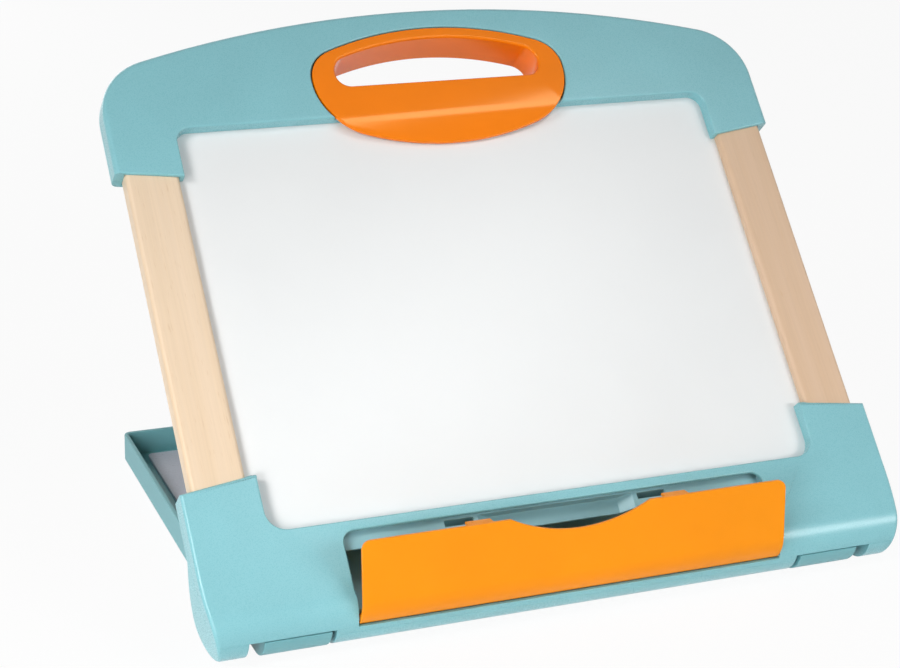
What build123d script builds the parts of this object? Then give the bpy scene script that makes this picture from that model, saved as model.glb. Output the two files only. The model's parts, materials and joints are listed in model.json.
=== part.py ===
from build123d import *
import math
import os

os.makedirs("parts", exist_ok=True)

# Children's tabletop easel. Millimetres, +Z up. The origin is on the surface it stands on,
# at the middle of the tray's underside; +Y runs back under the board.
# Pieces of the board are drawn in the board's own frame: x across, u up the board from the
# hinge axis, n out of its front face. The tray is drawn level, y measured from the hinge.

# The whole easel
overall_width = 400.0
casing_half = overall_width / 2
board_tilt = 45.0
hinge_height = 18.5
hinge_round = 18.2
fit = 0.1

# Shell walls and the main levels across the board, n measured from the hinge axis
front_wall = 2.0
side_wall = 3.0
back_wall = 1.9
casing_depth = 16.0
split_n = 8.2
face_n = hinge_round
inner_face_n = face_n - front_wall
back_n = face_n - casing_depth
cover_n = back_n + back_wall

# Wooden rails
rail_width = 29.4
rail_inset = 6.4
rail_bottom_u = 24.0
rail_top_u = 290.0
rail_edge_round = 2.5
rail_outer = casing_half - rail_inset
rail_inner = rail_outer - rail_width
rail_front_n = inner_face_n
rail_back_n = cover_n
rail_thickness = rail_front_n - rail_back_n
rail_centre = (rail_outer + rail_inner) / 2

# Writing panel and its backing
panel_recess = 5.0
panel_thickness = 1.2
backing_thickness = 3.0
panel_grip = 4.2
panel_bottom_u = 35.4
panel_top_u = 277.5
panel_front_n = rail_front_n - panel_recess
panel_back_n = panel_front_n - panel_thickness
backing_back_n = panel_back_n - backing_thickness
panel_half = rail_inner + panel_grip

# Bottom casing
arm_top_u = 65.0
arm_peak_u = 70.2
tail_u = 34.0
bezel_bottom_u = 38.8
bezel_half = casing_half - 41.0
bezel_bottom_round = 11.0
bezel_wall = 2.4
seam_angle = 57.0
lip_seam_angle = 67.0
seam_gap = 0.5
lobe_inner = casing_half - 21.0
centre_half = casing_half - 67.0
casing_edge_round = 2.2
box_back_n = -14.0
box_top_u = 37.0
pin_boss_radius = 7.0
taper_angle = 20.0
taper_start = 25.0
taper_radius = 142.0
round_hollow_half = casing_half - 12.0
knuckle_room = 0.8
boss_radius = 3.2
arm_boss = (centre_half + 17.0, 28.5)
centre_boss = (centre_half - 6.4, 20.0)

# Marker compartment and its door, door angles measured round the hinge from the front face
opening_half = centre_half - 11.4
opening_top_u = 33.2
opening_round = 6.5
opening_lip_angle = 57.0
door_side_gap = 0.7
door_top_gap = 0.6
door_thickness = 2.2
door_round = 5.0
door_axis_angle = 46.0
door_knuckle_radius = 2.6
door_rod_radius = 1.2
door_open_angle = 39.0
finger_dip = 10.0
finger_dip_half = 40.0
catch_x = 56.0
catch_width = 14.0
catch_reach = 5.0
catch_thickness = 1.6
jamb_width = 3.0
bin_wall = 1.8
bin_bottom_u = -8.0
bin_lip_n = 10.0
shelf_n = 13.2
shelf_bottom_u = 24.4
shelf_thickness = 1.6
slot_width = 16.4
slot_height = 3.4
slot_top_u = 32.6
scoop_half = 38.0
scoop_slope = 7.0
scoop_depth = 6.0

# Main hinge: knuckles on the tray, pins in the casing
knuckle_inner = centre_half + 2.5
knuckle_outer = lobe_inner - 8.0
knuckle_core = 15.7
hinge_pin_radius = 3.0
hinge_pin_inner = centre_half - 7.0
hinge_pin_outer = casing_half - 10.0
running_gap = 0.05

# Base tray
tray_half = casing_half - 22.0
tray_rear_y = 252.0
tray_front_y = 12.0
tray_height = 17.0
tray_wall = 2.6
tray_floor = 2.4
tray_corner_round = 4.5
tray_sill = 3.6
floor_panel_half = tray_half - 13.0
floor_panel_front_y = 42.0
floor_panel_rear_y = 244.0
floor_panel_thickness = 2.0
pad_radius = 7.0
pad_thickness = 0.8
pad_spots = ((tray_half - 28.0, 32.0), (tray_half - 28.0, 232.0))

# Top cap
cap_half = casing_half - 1.0
cap_end_u = 244.4
cap_end_rise = 5.0
cap_top_u = 341.0
cap_arch_radius = 654.0
cap_corner_radius = 35.4
cap_edge_round = 3.0
bezel_top_u = 273.5
bezel_top_half = casing_half - 38.5
bezel_top_round = 8.0
cap_boss_spots = ((cap_half - 69.0, 300.0), (88.0, 325.0))

# Handle and paper clip in one moulding
clip_half = 76.9
clip_bottom_u = 254.6
clip_bottom_radius = 164.0
clip_bottom_round = 35.0
clip_top_u = 327.8
clip_top_radius = 180.6
clip_top_round = 19.0
clip_gap = 0.8
clip_thickness = 2.5
clip_bend_u = 275.0
clip_bend_length = 6.0
clip_bend_drop = 0.9
clip_tip_n = 14.0
hole_half = 62.7
hole_bottom_u = 293.1
hole_top_u = 321.5
hole_side_u = 309.7
hole_bottom_round = 8.4
hole_top_round = 11.0
hole_edge_round = 1.5
tube_wall = 2.2
tube_back_n = -4.8
tube_clearance = 3.0
bulge_back_n = -5.8
bulge_wall = 3.0
clip_pivot_u = 284.0
clip_pivot_n = 9.0
clip_pin_radius = 1.5
lug_spots = (24.0, 64.0)
lug_thickness = 4.0
lug_radius = 3.9
post_inner = 78.0
post_thickness = 6.0
spring_x = 40.0
spring_length = 10.0
spring_radius = 3.2
spring_wire = 1.2

# Folding prop behind the board
prop_pivot_u = 110.0
prop_pivot_n = 0.8
prop_lean = 45.0
prop_x = 70.0
prop_bar_width = 8.0
prop_bar_thickness = 6.4
prop_tie_start = 62.0
prop_tie_width = 16.0
prop_tie_thickness = 4.0
prop_foot_radius = 3.5
prop_rod_radius = 2.0
prop_rod_half = 82.0
prop_foot_length = 7.0
prop_foot_gap = 0.3
prop_pin_radius = 1.5
bracket_plate = 2.0
bracket_cheek = 2.4
bracket_width = 34.0
bracket_height = 28.0
bracket_lug_radius = 4.5
cheek_gap = 0.3
rack_width = 26.0
rack_base = 1.5
rack_tooth = 2.0
rack_front_y = 146.0
rack_teeth = 6
rack_pitch = 14.0
rack_end = 8.0

# Screws
screw_radius = 1.5
screw_head_radius = 3.0
screw_head_height = 1.6
screw_bite = 8.0
small_screw_radius = 1.2
small_head_radius = 2.4
small_head_height = 1.2
rail_screw_spread = 8.0
rail_screw_margin = 12.5

# Frames of reference
tilt = math.radians(board_tilt)
up_board = Vector(0, math.sin(tilt), math.cos(tilt))
out_board = Vector(0, -math.cos(tilt), math.sin(tilt))
hinge_y = -(tray_front_y + tray_rear_y) / 2
hinge_point = Vector(0, hinge_y, hinge_height)
table = Plane(origin=(0, hinge_y, 0))
board = Plane(origin=hinge_point, x_dir=(1, 0, 0), z_dir=out_board)
side = Plane(origin=hinge_point, x_dir=up_board, z_dir=(1, 0, 0))
level_side = Plane(origin=(0, hinge_y, 0), x_dir=(0, 1, 0), z_dir=(1, 0, 0))
taper_up = (up_board * math.cos(math.radians(taper_angle))
            + out_board * math.sin(math.radians(taper_angle)))
taper_plane = Plane(origin=hinge_point, x_dir=(1, 0, 0), z_dir=Vector(1, 0, 0).cross(taper_up))


def round_point(radius, angle):
    """A point round the hinge in the board's section, the angle turned down from its face."""
    turn = math.radians(angle)
    return (-radius * math.sin(turn), radius * math.cos(turn))


def world_point(u, n):
    """The world place of a point of the board's middle section."""
    return hinge_point + up_board * u + out_board * n


def tangent_point(u, n, radius):
    """Where a line from a point behind the board meets a round about the hinge."""
    reach = math.hypot(u, n)
    turn = math.atan2(n, u) - math.acos(radius / reach)
    return (radius * math.cos(turn), radius * math.sin(turn))


def u_of(edge):
    """How far up the board an edge's middle lies."""
    return (edge @ 0.5 - hinge_point).dot(up_board)


def n_of(edge):
    """How far out of the board an edge's middle lies."""
    return (edge @ 0.5 - hinge_point).dot(out_board)


def on_outline(edge):
    """True for an end's edge on the outside of the bottom casing's section."""
    if abs((edge @ 0.5).X) < bezel_half:
        return False
    on_round = u_of(edge) < tail_u / 2 and math.hypot(u_of(edge), n_of(edge)) > hinge_round - fit
    on_face = abs(n_of(edge) - face_n) < fit
    return on_round or on_face or n_of(edge) < back_n + fit


# Places that several pieces share
door_axis = round_point(hinge_round - door_knuckle_radius, door_axis_angle)
tail_outer = tangent_point(tail_u, back_n, hinge_round)
tail_inner = tangent_point(tail_u, cover_n, inner_face_n)
split_turn = round_point(10.0, seam_angle)
seam_turn = round_point(hinge_round, seam_angle)
knuckle_cut_z = (hinge_height - seam_gap
                 - hinge_round * math.cos(math.radians(180 - seam_angle - board_tilt)))
box_turn_u = math.sqrt(hinge_round ** 2 - box_back_n ** 2)
door_top = opening_top_u - door_top_gap
door_open = math.radians(door_open_angle)
door_up = up_board * math.cos(door_open) + out_board * math.sin(door_open)
door_out = out_board * math.cos(door_open) - up_board * math.sin(door_open)
door_point = world_point(*door_axis)
door_side = Plane(origin=door_point, x_dir=door_up, z_dir=(1, 0, 0))
door_face = Plane(origin=door_point, x_dir=(1, 0, 0), z_dir=door_out)
cap_corner_x = cap_half - cap_corner_radius
cap_arch_u = cap_top_u - cap_arch_radius
cap_corner_reach = cap_arch_radius - cap_corner_radius
cap_corner_u = cap_arch_u + math.sqrt(cap_corner_reach ** 2 - cap_corner_x ** 2)
clip_low_u = (clip_bottom_u + clip_bottom_radius
              - math.sqrt(clip_bottom_radius ** 2 - clip_half ** 2))
clip_high_u = (clip_top_u - clip_top_radius
               + math.sqrt(clip_top_radius ** 2 - clip_half ** 2))
floor_panel_top = tray_floor + floor_panel_thickness
rack_top = floor_panel_top + rack_base
tooth_top = rack_top + rack_tooth
lean = math.radians(prop_lean)
prop_pivot = world_point(prop_pivot_u, prop_pivot_n)
prop_foot_height = tooth_top + prop_foot_gap + prop_foot_radius
prop_length = (prop_pivot.Z - prop_foot_height) / math.cos(lean)
prop_down = Vector(0, math.sin(lean), -math.cos(lean))
prop_side = Plane(origin=prop_pivot, x_dir=prop_down, z_dir=(1, 0, 0))
rack_length = rack_teeth * rack_pitch + rack_end * 2
rack_screw_spots = [(x, y) for x in (-prop_x, prop_x)
                    for y in (rack_front_y + rack_end / 2,
                              rack_front_y + rack_length - rack_end / 2)]
rail_screws_low = [(sign * (rail_centre + shift), arm_top_u - rail_screw_margin)
                   for sign in (-1, 1) for shift in (-rail_screw_spread, rail_screw_spread)]
rail_screws_high = [(sign * (rail_centre + shift), cap_end_u + rail_screw_margin)
                    for sign in (-1, 1) for shift in (-rail_screw_spread, rail_screw_spread)]
arm_boss_spots = [(sign * arm_boss[0], arm_boss[1]) for sign in (-1, 1)]
centre_boss_spots = [(sign * centre_boss[0], centre_boss[1]) for sign in (-1, 1)]
cap_screw_spots = [(sign * x, u) for sign in (-1, 1) for x, u in cap_boss_spots]
bracket_reach = (bracket_width / 2 - 4, bracket_height / 2 - 4)
bracket_screw_spots = [(sign * prop_x + x, prop_pivot_u + u) for sign in (-1, 1)
                       for x in (-bracket_reach[0], bracket_reach[0])
                       for u in (-bracket_reach[1], bracket_reach[1])]


# Outlines of the bottom casing, drawn flat: its ends narrow towards the hinge, its arms slope
with BuildSketch() as taper_outline:
    with BuildLine():
        taper_curve = CenterArc((casing_half - taper_radius, taper_start), taper_radius, 0,
                                -math.degrees(math.asin(taper_start * 2 / taper_radius)))
        Line(taper_curve @ 0, (casing_half, casing_half))
        Line((casing_half, casing_half), (0, casing_half))
        Line(taper_curve @ 1, (0, -taper_start))
        mirror(about=Plane.YZ)
    make_face()

with BuildSketch() as arm_outline:
    with BuildLine():
        Polyline((0, -casing_half), (casing_half, -casing_half), (casing_half, arm_top_u),
                 (bezel_half + bezel_wall, arm_peak_u), (0, arm_peak_u))
        mirror(about=Plane.YZ)
    make_face()

# Base tray: a shallow box lying on its floor, with the two hinge knuckles at its front
with BuildPart() as base_tray:
    with BuildSketch(table) as tray_outline:
        with Locations((0, (tray_front_y + tray_rear_y) / 2)):
            Rectangle(tray_half * 2, tray_rear_y - tray_front_y)
        fillet(tray_outline.vertices().group_by(Axis.Y)[-1], tray_corner_round)
    extrude(amount=tray_height)
    chamfer(base_tray.faces().sort_by(Axis.Z)[0].edges(), 0.8)
    with BuildSketch(table.offset(tray_floor)) as tray_hollow:
        with Locations((0, (tray_front_y + tray_rear_y) / 2)):
            Rectangle((tray_half - tray_wall) * 2, tray_rear_y - tray_front_y - 2 * tray_wall)
        fillet(tray_hollow.vertices().group_by(Axis.Y)[-1], tray_corner_round - tray_wall)
    extrude(amount=tray_height, mode=Mode.SUBTRACT)
    with BuildSketch(table.offset(tray_sill)):
        with Locations((0, tray_front_y)):
            Rectangle(knuckle_inner * 2, tray_wall * 4)
    extrude(amount=tray_height, mode=Mode.SUBTRACT)
    for x_start in (knuckle_inner, -knuckle_outer):
        with BuildSketch(level_side.offset(x_start)):
            with Locations((0, hinge_height)):
                Circle(hinge_height)
            with Locations((0, knuckle_cut_z)):
                Rectangle(hinge_height * 3, hinge_height * 4, align=(Align.CENTER, Align.MIN),
                          mode=Mode.SUBTRACT)
            with Locations((0, hinge_height)):
                Circle(knuckle_core)
            Rectangle(tray_front_y + tray_wall, tray_height, align=(Align.MIN, Align.MIN))
        extrude(amount=knuckle_outer - knuckle_inner)
    with BuildSketch(level_side.offset(-tray_half)):
        with Locations((0, hinge_height)):
            Circle(hinge_pin_radius + running_gap)
    extrude(amount=tray_half * 2, mode=Mode.SUBTRACT)
    with BuildSketch(table):
        with Locations(*rack_screw_spots):
            Circle(small_screw_radius)
    extrude(amount=tray_floor, mode=Mode.SUBTRACT)
    with BuildSketch(table):
        with Locations(*[(sign * x, y) for sign in (-1, 1) for x, y in pad_spots]):
            Circle(pad_radius)
    extrude(amount=pad_thickness, mode=Mode.SUBTRACT)
base_tray.part.label = "base_tray"
export_step(base_tray.part, "parts/base_tray.step")

# Rubber pads let into the underside, flush with it
with BuildPart() as base_pads:
    with BuildSketch(table):
        with Locations(*[(sign * x, y) for sign in (-1, 1) for x, y in pad_spots]):
            Circle(pad_radius)
    extrude(amount=pad_thickness)
base_pads.part.label = "base_pads"
export_step(base_pads.part, "parts/base_pads.step")

# Grey hardboard laid on the tray's floor
with BuildPart() as tray_floor_panel:
    with BuildSketch(table.offset(tray_floor)):
        with Locations((0, (floor_panel_front_y + floor_panel_rear_y) / 2)):
            RectangleRounded(floor_panel_half * 2, floor_panel_rear_y - floor_panel_front_y, 3)
        with Locations(*rack_screw_spots):
            Circle(small_screw_radius, mode=Mode.SUBTRACT)
    extrude(amount=floor_panel_thickness)
tray_floor_panel.part.label = "tray_floor_panel"
export_step(tray_floor_panel.part, "parts/tray_floor_panel.step")

# Two toothed racks on the tray's floor for the foot of the prop
with BuildPart() as prop_racks:
    for rack_x in (-prop_x, prop_x):
        with BuildSketch(level_side.offset(rack_x - rack_width / 2)):
            with Locations((rack_front_y, floor_panel_top)):
                Rectangle(rack_length, rack_base, align=(Align.MIN, Align.MIN))
            for tooth in range(rack_teeth):
                tooth_y = rack_front_y + rack_end + tooth * rack_pitch
                with BuildLine():
                    Polyline((tooth_y + 3, rack_top), (tooth_y + rack_pitch - 2, tooth_top),
                             (tooth_y + rack_pitch, tooth_top), (tooth_y + rack_pitch, rack_top),
                             close=True)
                make_face()
        extrude(amount=rack_width)
    with BuildSketch(table.offset(floor_panel_top)):
        with Locations(*rack_screw_spots):
            Circle(small_screw_radius)
    extrude(amount=rack_base, mode=Mode.SUBTRACT)
prop_racks.part.label = "prop_racks"
export_step(prop_racks.part, "parts/prop_racks.step")

with BuildPart() as rack_screws:
    with BuildSketch(table.offset(rack_top)):
        with Locations(*rack_screw_spots):
            Circle(small_head_radius)
    extrude(amount=small_head_height)
    with BuildSketch(table.offset(rack_top)):
        with Locations(*rack_screw_spots):
            Circle(small_screw_radius)
    extrude(amount=-(rack_top - 0.6))
rack_screws.part.label = "rack_screws"
export_step(rack_screws.part, "parts/rack_screws.step")

# Steel pins of the main hinge, pressed in the casing and turning in the tray's knuckles
with BuildPart() as hinge_pins:
    for x_start in (hinge_pin_inner, -hinge_pin_outer):
        with BuildSketch(side.offset(x_start)):
            Circle(hinge_pin_radius)
        extrude(amount=hinge_pin_outer - hinge_pin_inner)
hinge_pins.part.label = "hinge_pins"
export_step(hinge_pins.part, "parts/hinge_pins.step")

# Bottom casing, front shell: face, arms over the rails, sides, and the lip under the door
with BuildPart() as bottom_casing_front:
    with BuildSketch(side.offset(-casing_half)):
        with BuildLine():
            Line((arm_peak_u, face_n), (0, face_n))
            ThreePointArc((0, face_n), round_point(hinge_round, seam_angle / 2), seam_turn)
            Polyline(seam_turn, split_turn, (0, split_n), (arm_peak_u, split_n),
                     (arm_peak_u, face_n))
        make_face()
    extrude(amount=overall_width)
    with BuildSketch(taper_plane.offset(-casing_half)):
        add(taper_outline.sketch)
    extrude(amount=overall_width, mode=Mode.INTERSECT)
    with BuildSketch(board.offset(-casing_half)):
        add(arm_outline.sketch)
    extrude(amount=overall_width, mode=Mode.INTERSECT)
    fillet(bottom_casing_front.edges().filter_by(on_outline), casing_edge_round)
    with BuildSketch(side.offset(-centre_half)):
        Circle(hinge_round)
        with BuildLine():
            Polyline((0, 0), round_point(hinge_round * 2, seam_angle - 4),
                     round_point(hinge_round * 2, lip_seam_angle), close=True)
        make_face(mode=Mode.INTERSECT)
    extrude(amount=centre_half * 2)
    with BuildSketch(side.offset(-round_hollow_half)):
        Circle(inner_face_n)
    extrude(amount=round_hollow_half * 2, mode=Mode.SUBTRACT)
    for hollow_half, start_u in ((round_hollow_half, 0), (casing_half - side_wall, hinge_round)):
        with BuildSketch(side.offset(-hollow_half)):
            with Locations((start_u, inner_face_n)):
                Rectangle(arm_top_u - side_wall - start_u, casing_depth,
                          align=(Align.MIN, Align.MAX))
        extrude(amount=hollow_half * 2, mode=Mode.SUBTRACT)
    with BuildSketch(board.offset(panel_front_n)):
        with Locations((0, bezel_bottom_u - bezel_wall)):
            Rectangle((bezel_half + bezel_wall) * 2, arm_peak_u - bezel_bottom_u + bezel_wall,
                      align=(Align.CENTER, Align.MIN))
    extrude(amount=inner_face_n - panel_front_n + fit)
    with BuildSketch(board.offset(split_n - 1)) as bottom_window:
        with Locations((0, bezel_bottom_u)):
            Rectangle(bezel_half * 2, arm_top_u, align=(Align.CENTER, Align.MIN))
        fillet(bottom_window.vertices().group_by(Axis.Y)[0], bezel_bottom_round)
    extrude(amount=casing_depth, mode=Mode.SUBTRACT)
    with BuildSketch(board.offset(split_n - 1)):
        with Locations((-rail_centre, arm_top_u), (rail_centre, arm_top_u)):
            Rectangle(rail_width, side_wall * 4)
    extrude(amount=rail_front_n - split_n + 1, mode=Mode.SUBTRACT)
    with BuildSketch(board.offset(backing_back_n)):
        with Locations((0, (panel_bottom_u + panel_top_u) / 2)):
            Rectangle(panel_half * 2, panel_top_u - panel_bottom_u)
    extrude(amount=panel_front_n - backing_back_n, mode=Mode.SUBTRACT)
    with BuildSketch(board.offset(inner_face_n - 3)) as door_window:
        with Locations((0, opening_top_u)):
            Rectangle(opening_half * 2, opening_top_u, align=(Align.CENTER, Align.MAX))
        fillet(door_window.vertices().group_by(Axis.Y)[-1], opening_round)
    extrude(amount=casing_depth, mode=Mode.SUBTRACT)
    with BuildSketch(side.offset(-opening_half)):
        with BuildLine():
            Polyline((0, 0), round_point(hinge_round * 2, opening_lip_angle),
                     (0, hinge_round * 2), (fit, hinge_round * 2), (fit, 0), close=True)
        make_face()
    extrude(amount=opening_half * 2, mode=Mode.SUBTRACT)
    for x_start in (opening_half, -opening_half - jamb_width):
        with BuildSketch(side.offset(x_start)):
            with Locations(door_axis):
                Circle(door_knuckle_radius)
        extrude(amount=jamb_width)
        with BuildSketch(side.offset(x_start)):
            with Locations(door_axis):
                Circle(door_rod_radius + running_gap)
        extrude(amount=jamb_width, mode=Mode.SUBTRACT)
    with BuildSketch(board.offset(cover_n)):
        with Locations(*arm_boss_spots):
            Circle(boss_radius)
    extrude(amount=inner_face_n - cover_n)
    with BuildSketch(board.offset(split_n)):
        with Locations(*centre_boss_spots):
            Circle(boss_radius)
    extrude(amount=inner_face_n - split_n)
    with BuildSketch(board.offset(cover_n)):
        with Locations(*(arm_boss_spots + centre_boss_spots)):
            Circle(screw_radius)
    extrude(amount=screw_bite, mode=Mode.SUBTRACT)
bottom_casing_front.part.label = "bottom_casing_front"
export_step(bottom_casing_front.part, "parts/bottom_casing_front.step")

# Bottom casing, back shell: the two end lobes, the back of the arms, and the deep middle box
with BuildPart() as bottom_casing_back:
    with BuildSketch(side.offset(-casing_half)):
        with BuildLine():
            Line((arm_peak_u, back_n), (tail_u, back_n))
            Line((tail_u, back_n), tail_outer)
            ThreePointArc(tail_outer, round_point(hinge_round, 135), seam_turn)
            Polyline(seam_turn, split_turn, (0, split_n), (arm_peak_u, split_n),
                     (arm_peak_u, back_n))
        make_face()
    extrude(amount=overall_width)
    with BuildSketch(taper_plane.offset(-casing_half)):
        add(taper_outline.sketch)
    extrude(amount=overall_width, mode=Mode.INTERSECT)
    with BuildSketch(board.offset(-casing_half)):
        add(arm_outline.sketch)
    extrude(amount=overall_width, mode=Mode.INTERSECT)
    fillet(bottom_casing_back.edges().filter_by(on_outline), casing_edge_round)
    with BuildSketch(side.offset(-lobe_inner)):
        Rectangle(casing_half, casing_half, align=(Align.MAX, Align.CENTER))
        Circle(hinge_height + knuckle_room)
        with Locations((0, back_n)):
            Rectangle(tail_u + 1, casing_depth * 2, align=(Align.MIN, Align.MAX))
    extrude(amount=lobe_inner * 2, mode=Mode.SUBTRACT)
    with BuildSketch(side.offset(-centre_half)):
        with BuildLine():
            ThreePointArc((box_turn_u, box_back_n), round_point(hinge_round, 130),
                          round_point(hinge_round, lip_seam_angle))
            Polyline(round_point(hinge_round, lip_seam_angle),
                     round_point(inner_face_n - fit, lip_seam_angle),
                     (-casing_depth + 2, backing_back_n), (box_top_u, backing_back_n),
                     (box_top_u, box_back_n), (box_turn_u, box_back_n))
        make_face()
    extrude(amount=centre_half * 2)
    with BuildSketch(side.offset(-(centre_half - side_wall))):
        Circle(inner_face_n)
        with Locations((0, box_back_n + front_wall)):
            Rectangle(box_top_u - front_wall, casing_depth * 2, align=(Align.MIN, Align.MIN))
    extrude(amount=(centre_half - side_wall) * 2, mode=Mode.SUBTRACT)
    for x_start in (lobe_inner + side_wall, -round_hollow_half):
        with BuildSketch(side.offset(x_start)):
            Circle(inner_face_n)
            with BuildLine():
                Polyline((0, 0), (0, casing_depth), (tail_u, casing_depth), (tail_u, cover_n),
                         tail_inner, close=True)
            make_face()
        extrude(amount=round_hollow_half - lobe_inner - side_wall, mode=Mode.SUBTRACT)
    with BuildSketch(board.offset(cover_n)):
        for sign in (-1, 1):
            with Locations((sign * (lobe_inner + casing_half) / 2, hinge_round)):
                Rectangle(casing_half - lobe_inner - side_wall * 2,
                          arm_top_u - side_wall - hinge_round, align=(Align.CENTER, Align.MIN))
    extrude(amount=casing_depth, mode=Mode.SUBTRACT)
    with BuildSketch(board.offset(cover_n)):
        for sign in (-1, 1):
            with Locations((sign * (centre_half + casing_half - side_wall) / 2,
                            arm_top_u - side_wall)):
                Rectangle(casing_half - side_wall - centre_half,
                          arm_top_u - side_wall - hinge_height - knuckle_room,
                          align=(Align.CENTER, Align.MAX))
        with Locations((0, arm_top_u - side_wall)):
            Rectangle(centre_half * 2, arm_top_u - side_wall - box_top_u,
                      align=(Align.CENTER, Align.MAX))
    extrude(amount=casing_depth, mode=Mode.SUBTRACT)
    with BuildSketch(board.offset(cover_n)):
        with Locations((0, bezel_bottom_u - bezel_wall)):
            Rectangle((bezel_half + bezel_wall) * 2, arm_peak_u - bezel_bottom_u + bezel_wall,
                      align=(Align.CENTER, Align.MIN))
    extrude(amount=backing_back_n - cover_n)
    with BuildSketch(board.offset(back_n - 1)) as back_window:
        with Locations((0, bezel_bottom_u)):
            Rectangle(bezel_half * 2, arm_top_u, align=(Align.CENTER, Align.MIN))
        fillet(back_window.vertices().group_by(Axis.Y)[0], bezel_bottom_round)
    extrude(amount=casing_depth, mode=Mode.SUBTRACT)
    with BuildSketch(board.offset(rail_back_n)):
        with Locations((-rail_centre, arm_top_u), (rail_centre, arm_top_u)):
            Rectangle(rail_width, side_wall * 4)
    extrude(amount=casing_depth, mode=Mode.SUBTRACT)
    with BuildSketch(board.offset(backing_back_n)):
        with Locations((0, (panel_bottom_u + panel_top_u) / 2)):
            Rectangle(panel_half * 2, panel_top_u - panel_bottom_u)
    extrude(amount=panel_front_n - backing_back_n, mode=Mode.SUBTRACT)
    for x_start in (lobe_inner, -lobe_inner - side_wall,
                    centre_half - side_wall, -centre_half):
        with BuildSketch(side.offset(x_start)):
            Circle(pin_boss_radius)
        extrude(amount=side_wall)
    with BuildSketch(side.offset(-hinge_pin_outer)):
        Circle(hinge_pin_radius)
    extrude(amount=hinge_pin_outer * 2, mode=Mode.SUBTRACT)
    with BuildSketch(board.offset(box_back_n + front_wall)):
        with Locations(*centre_boss_spots):
            Circle(boss_radius)
    extrude(amount=split_n - box_back_n - front_wall)
    with BuildSketch(board.offset(box_back_n - 1)):
        with Locations(*(arm_boss_spots + centre_boss_spots + rail_screws_low)):
            Circle(screw_radius)
    extrude(amount=casing_depth * 2, mode=Mode.SUBTRACT)
bottom_casing_back.part.label = "bottom_casing_back"
export_step(bottom_casing_back.part, "parts/bottom_casing_back.step")

# Marker bin: an open box set into the casing, with a shelf behind the top of the opening
with BuildPart() as marker_bin:
    with BuildSketch(side.offset(-opening_half - bin_wall)):
        with BuildLine():
            Polyline((bin_bottom_u, box_back_n + front_wall), (bin_bottom_u, bin_lip_n),
                     (fit, bin_lip_n), (fit, inner_face_n), (box_top_u - front_wall, inner_face_n),
                     (box_top_u - front_wall, box_back_n + front_wall), close=True)
        make_face()
    extrude(amount=(opening_half + bin_wall) * 2)
    with BuildSketch(side.offset(-opening_half)):
        with Locations((bin_bottom_u + bin_wall, box_back_n + front_wall + bin_wall)):
            Rectangle(box_top_u - front_wall - bin_bottom_u - 2 * bin_wall, casing_depth * 3,
                      align=(Align.MIN, Align.MIN))
        with Locations((0, shelf_n)):
            Rectangle(casing_half, casing_depth, align=(Align.MIN, Align.MIN))
    extrude(amount=opening_half * 2, mode=Mode.SUBTRACT)
    with BuildSketch(Plane(origin=world_point(shelf_bottom_u, 0), x_dir=(1, 0, 0),
                           z_dir=up_board)):
        with BuildLine():
            Polyline((opening_half, -shelf_n), (scoop_half + scoop_slope, -shelf_n),
                     (scoop_half, scoop_depth - shelf_n), (-scoop_half, scoop_depth - shelf_n),
                     (-scoop_half - scoop_slope, -shelf_n), (-opening_half, -shelf_n),
                     (-opening_half, shelf_thickness - shelf_n),
                     (-scoop_half - scoop_slope - 1, shelf_thickness - shelf_n),
                     (-scoop_half - 1, scoop_depth + shelf_thickness - shelf_n),
                     (scoop_half + 1, scoop_depth + shelf_thickness - shelf_n),
                     (scoop_half + scoop_slope + 1, shelf_thickness - shelf_n),
                     (opening_half, shelf_thickness - shelf_n), close=True)
        make_face()
    extrude(amount=box_top_u - front_wall - bin_wall - shelf_bottom_u)
    with BuildSketch(board.offset(shelf_n - shelf_thickness * 2)):
        with Locations((-catch_x, slot_top_u), (catch_x, slot_top_u)):
            Rectangle(slot_width, slot_height, align=(Align.CENTER, Align.MAX))
    extrude(amount=shelf_thickness * 3, mode=Mode.SUBTRACT)
marker_bin.part.label = "marker_bin"
export_step(marker_bin.part, "parts/marker_bin.step")

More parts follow.
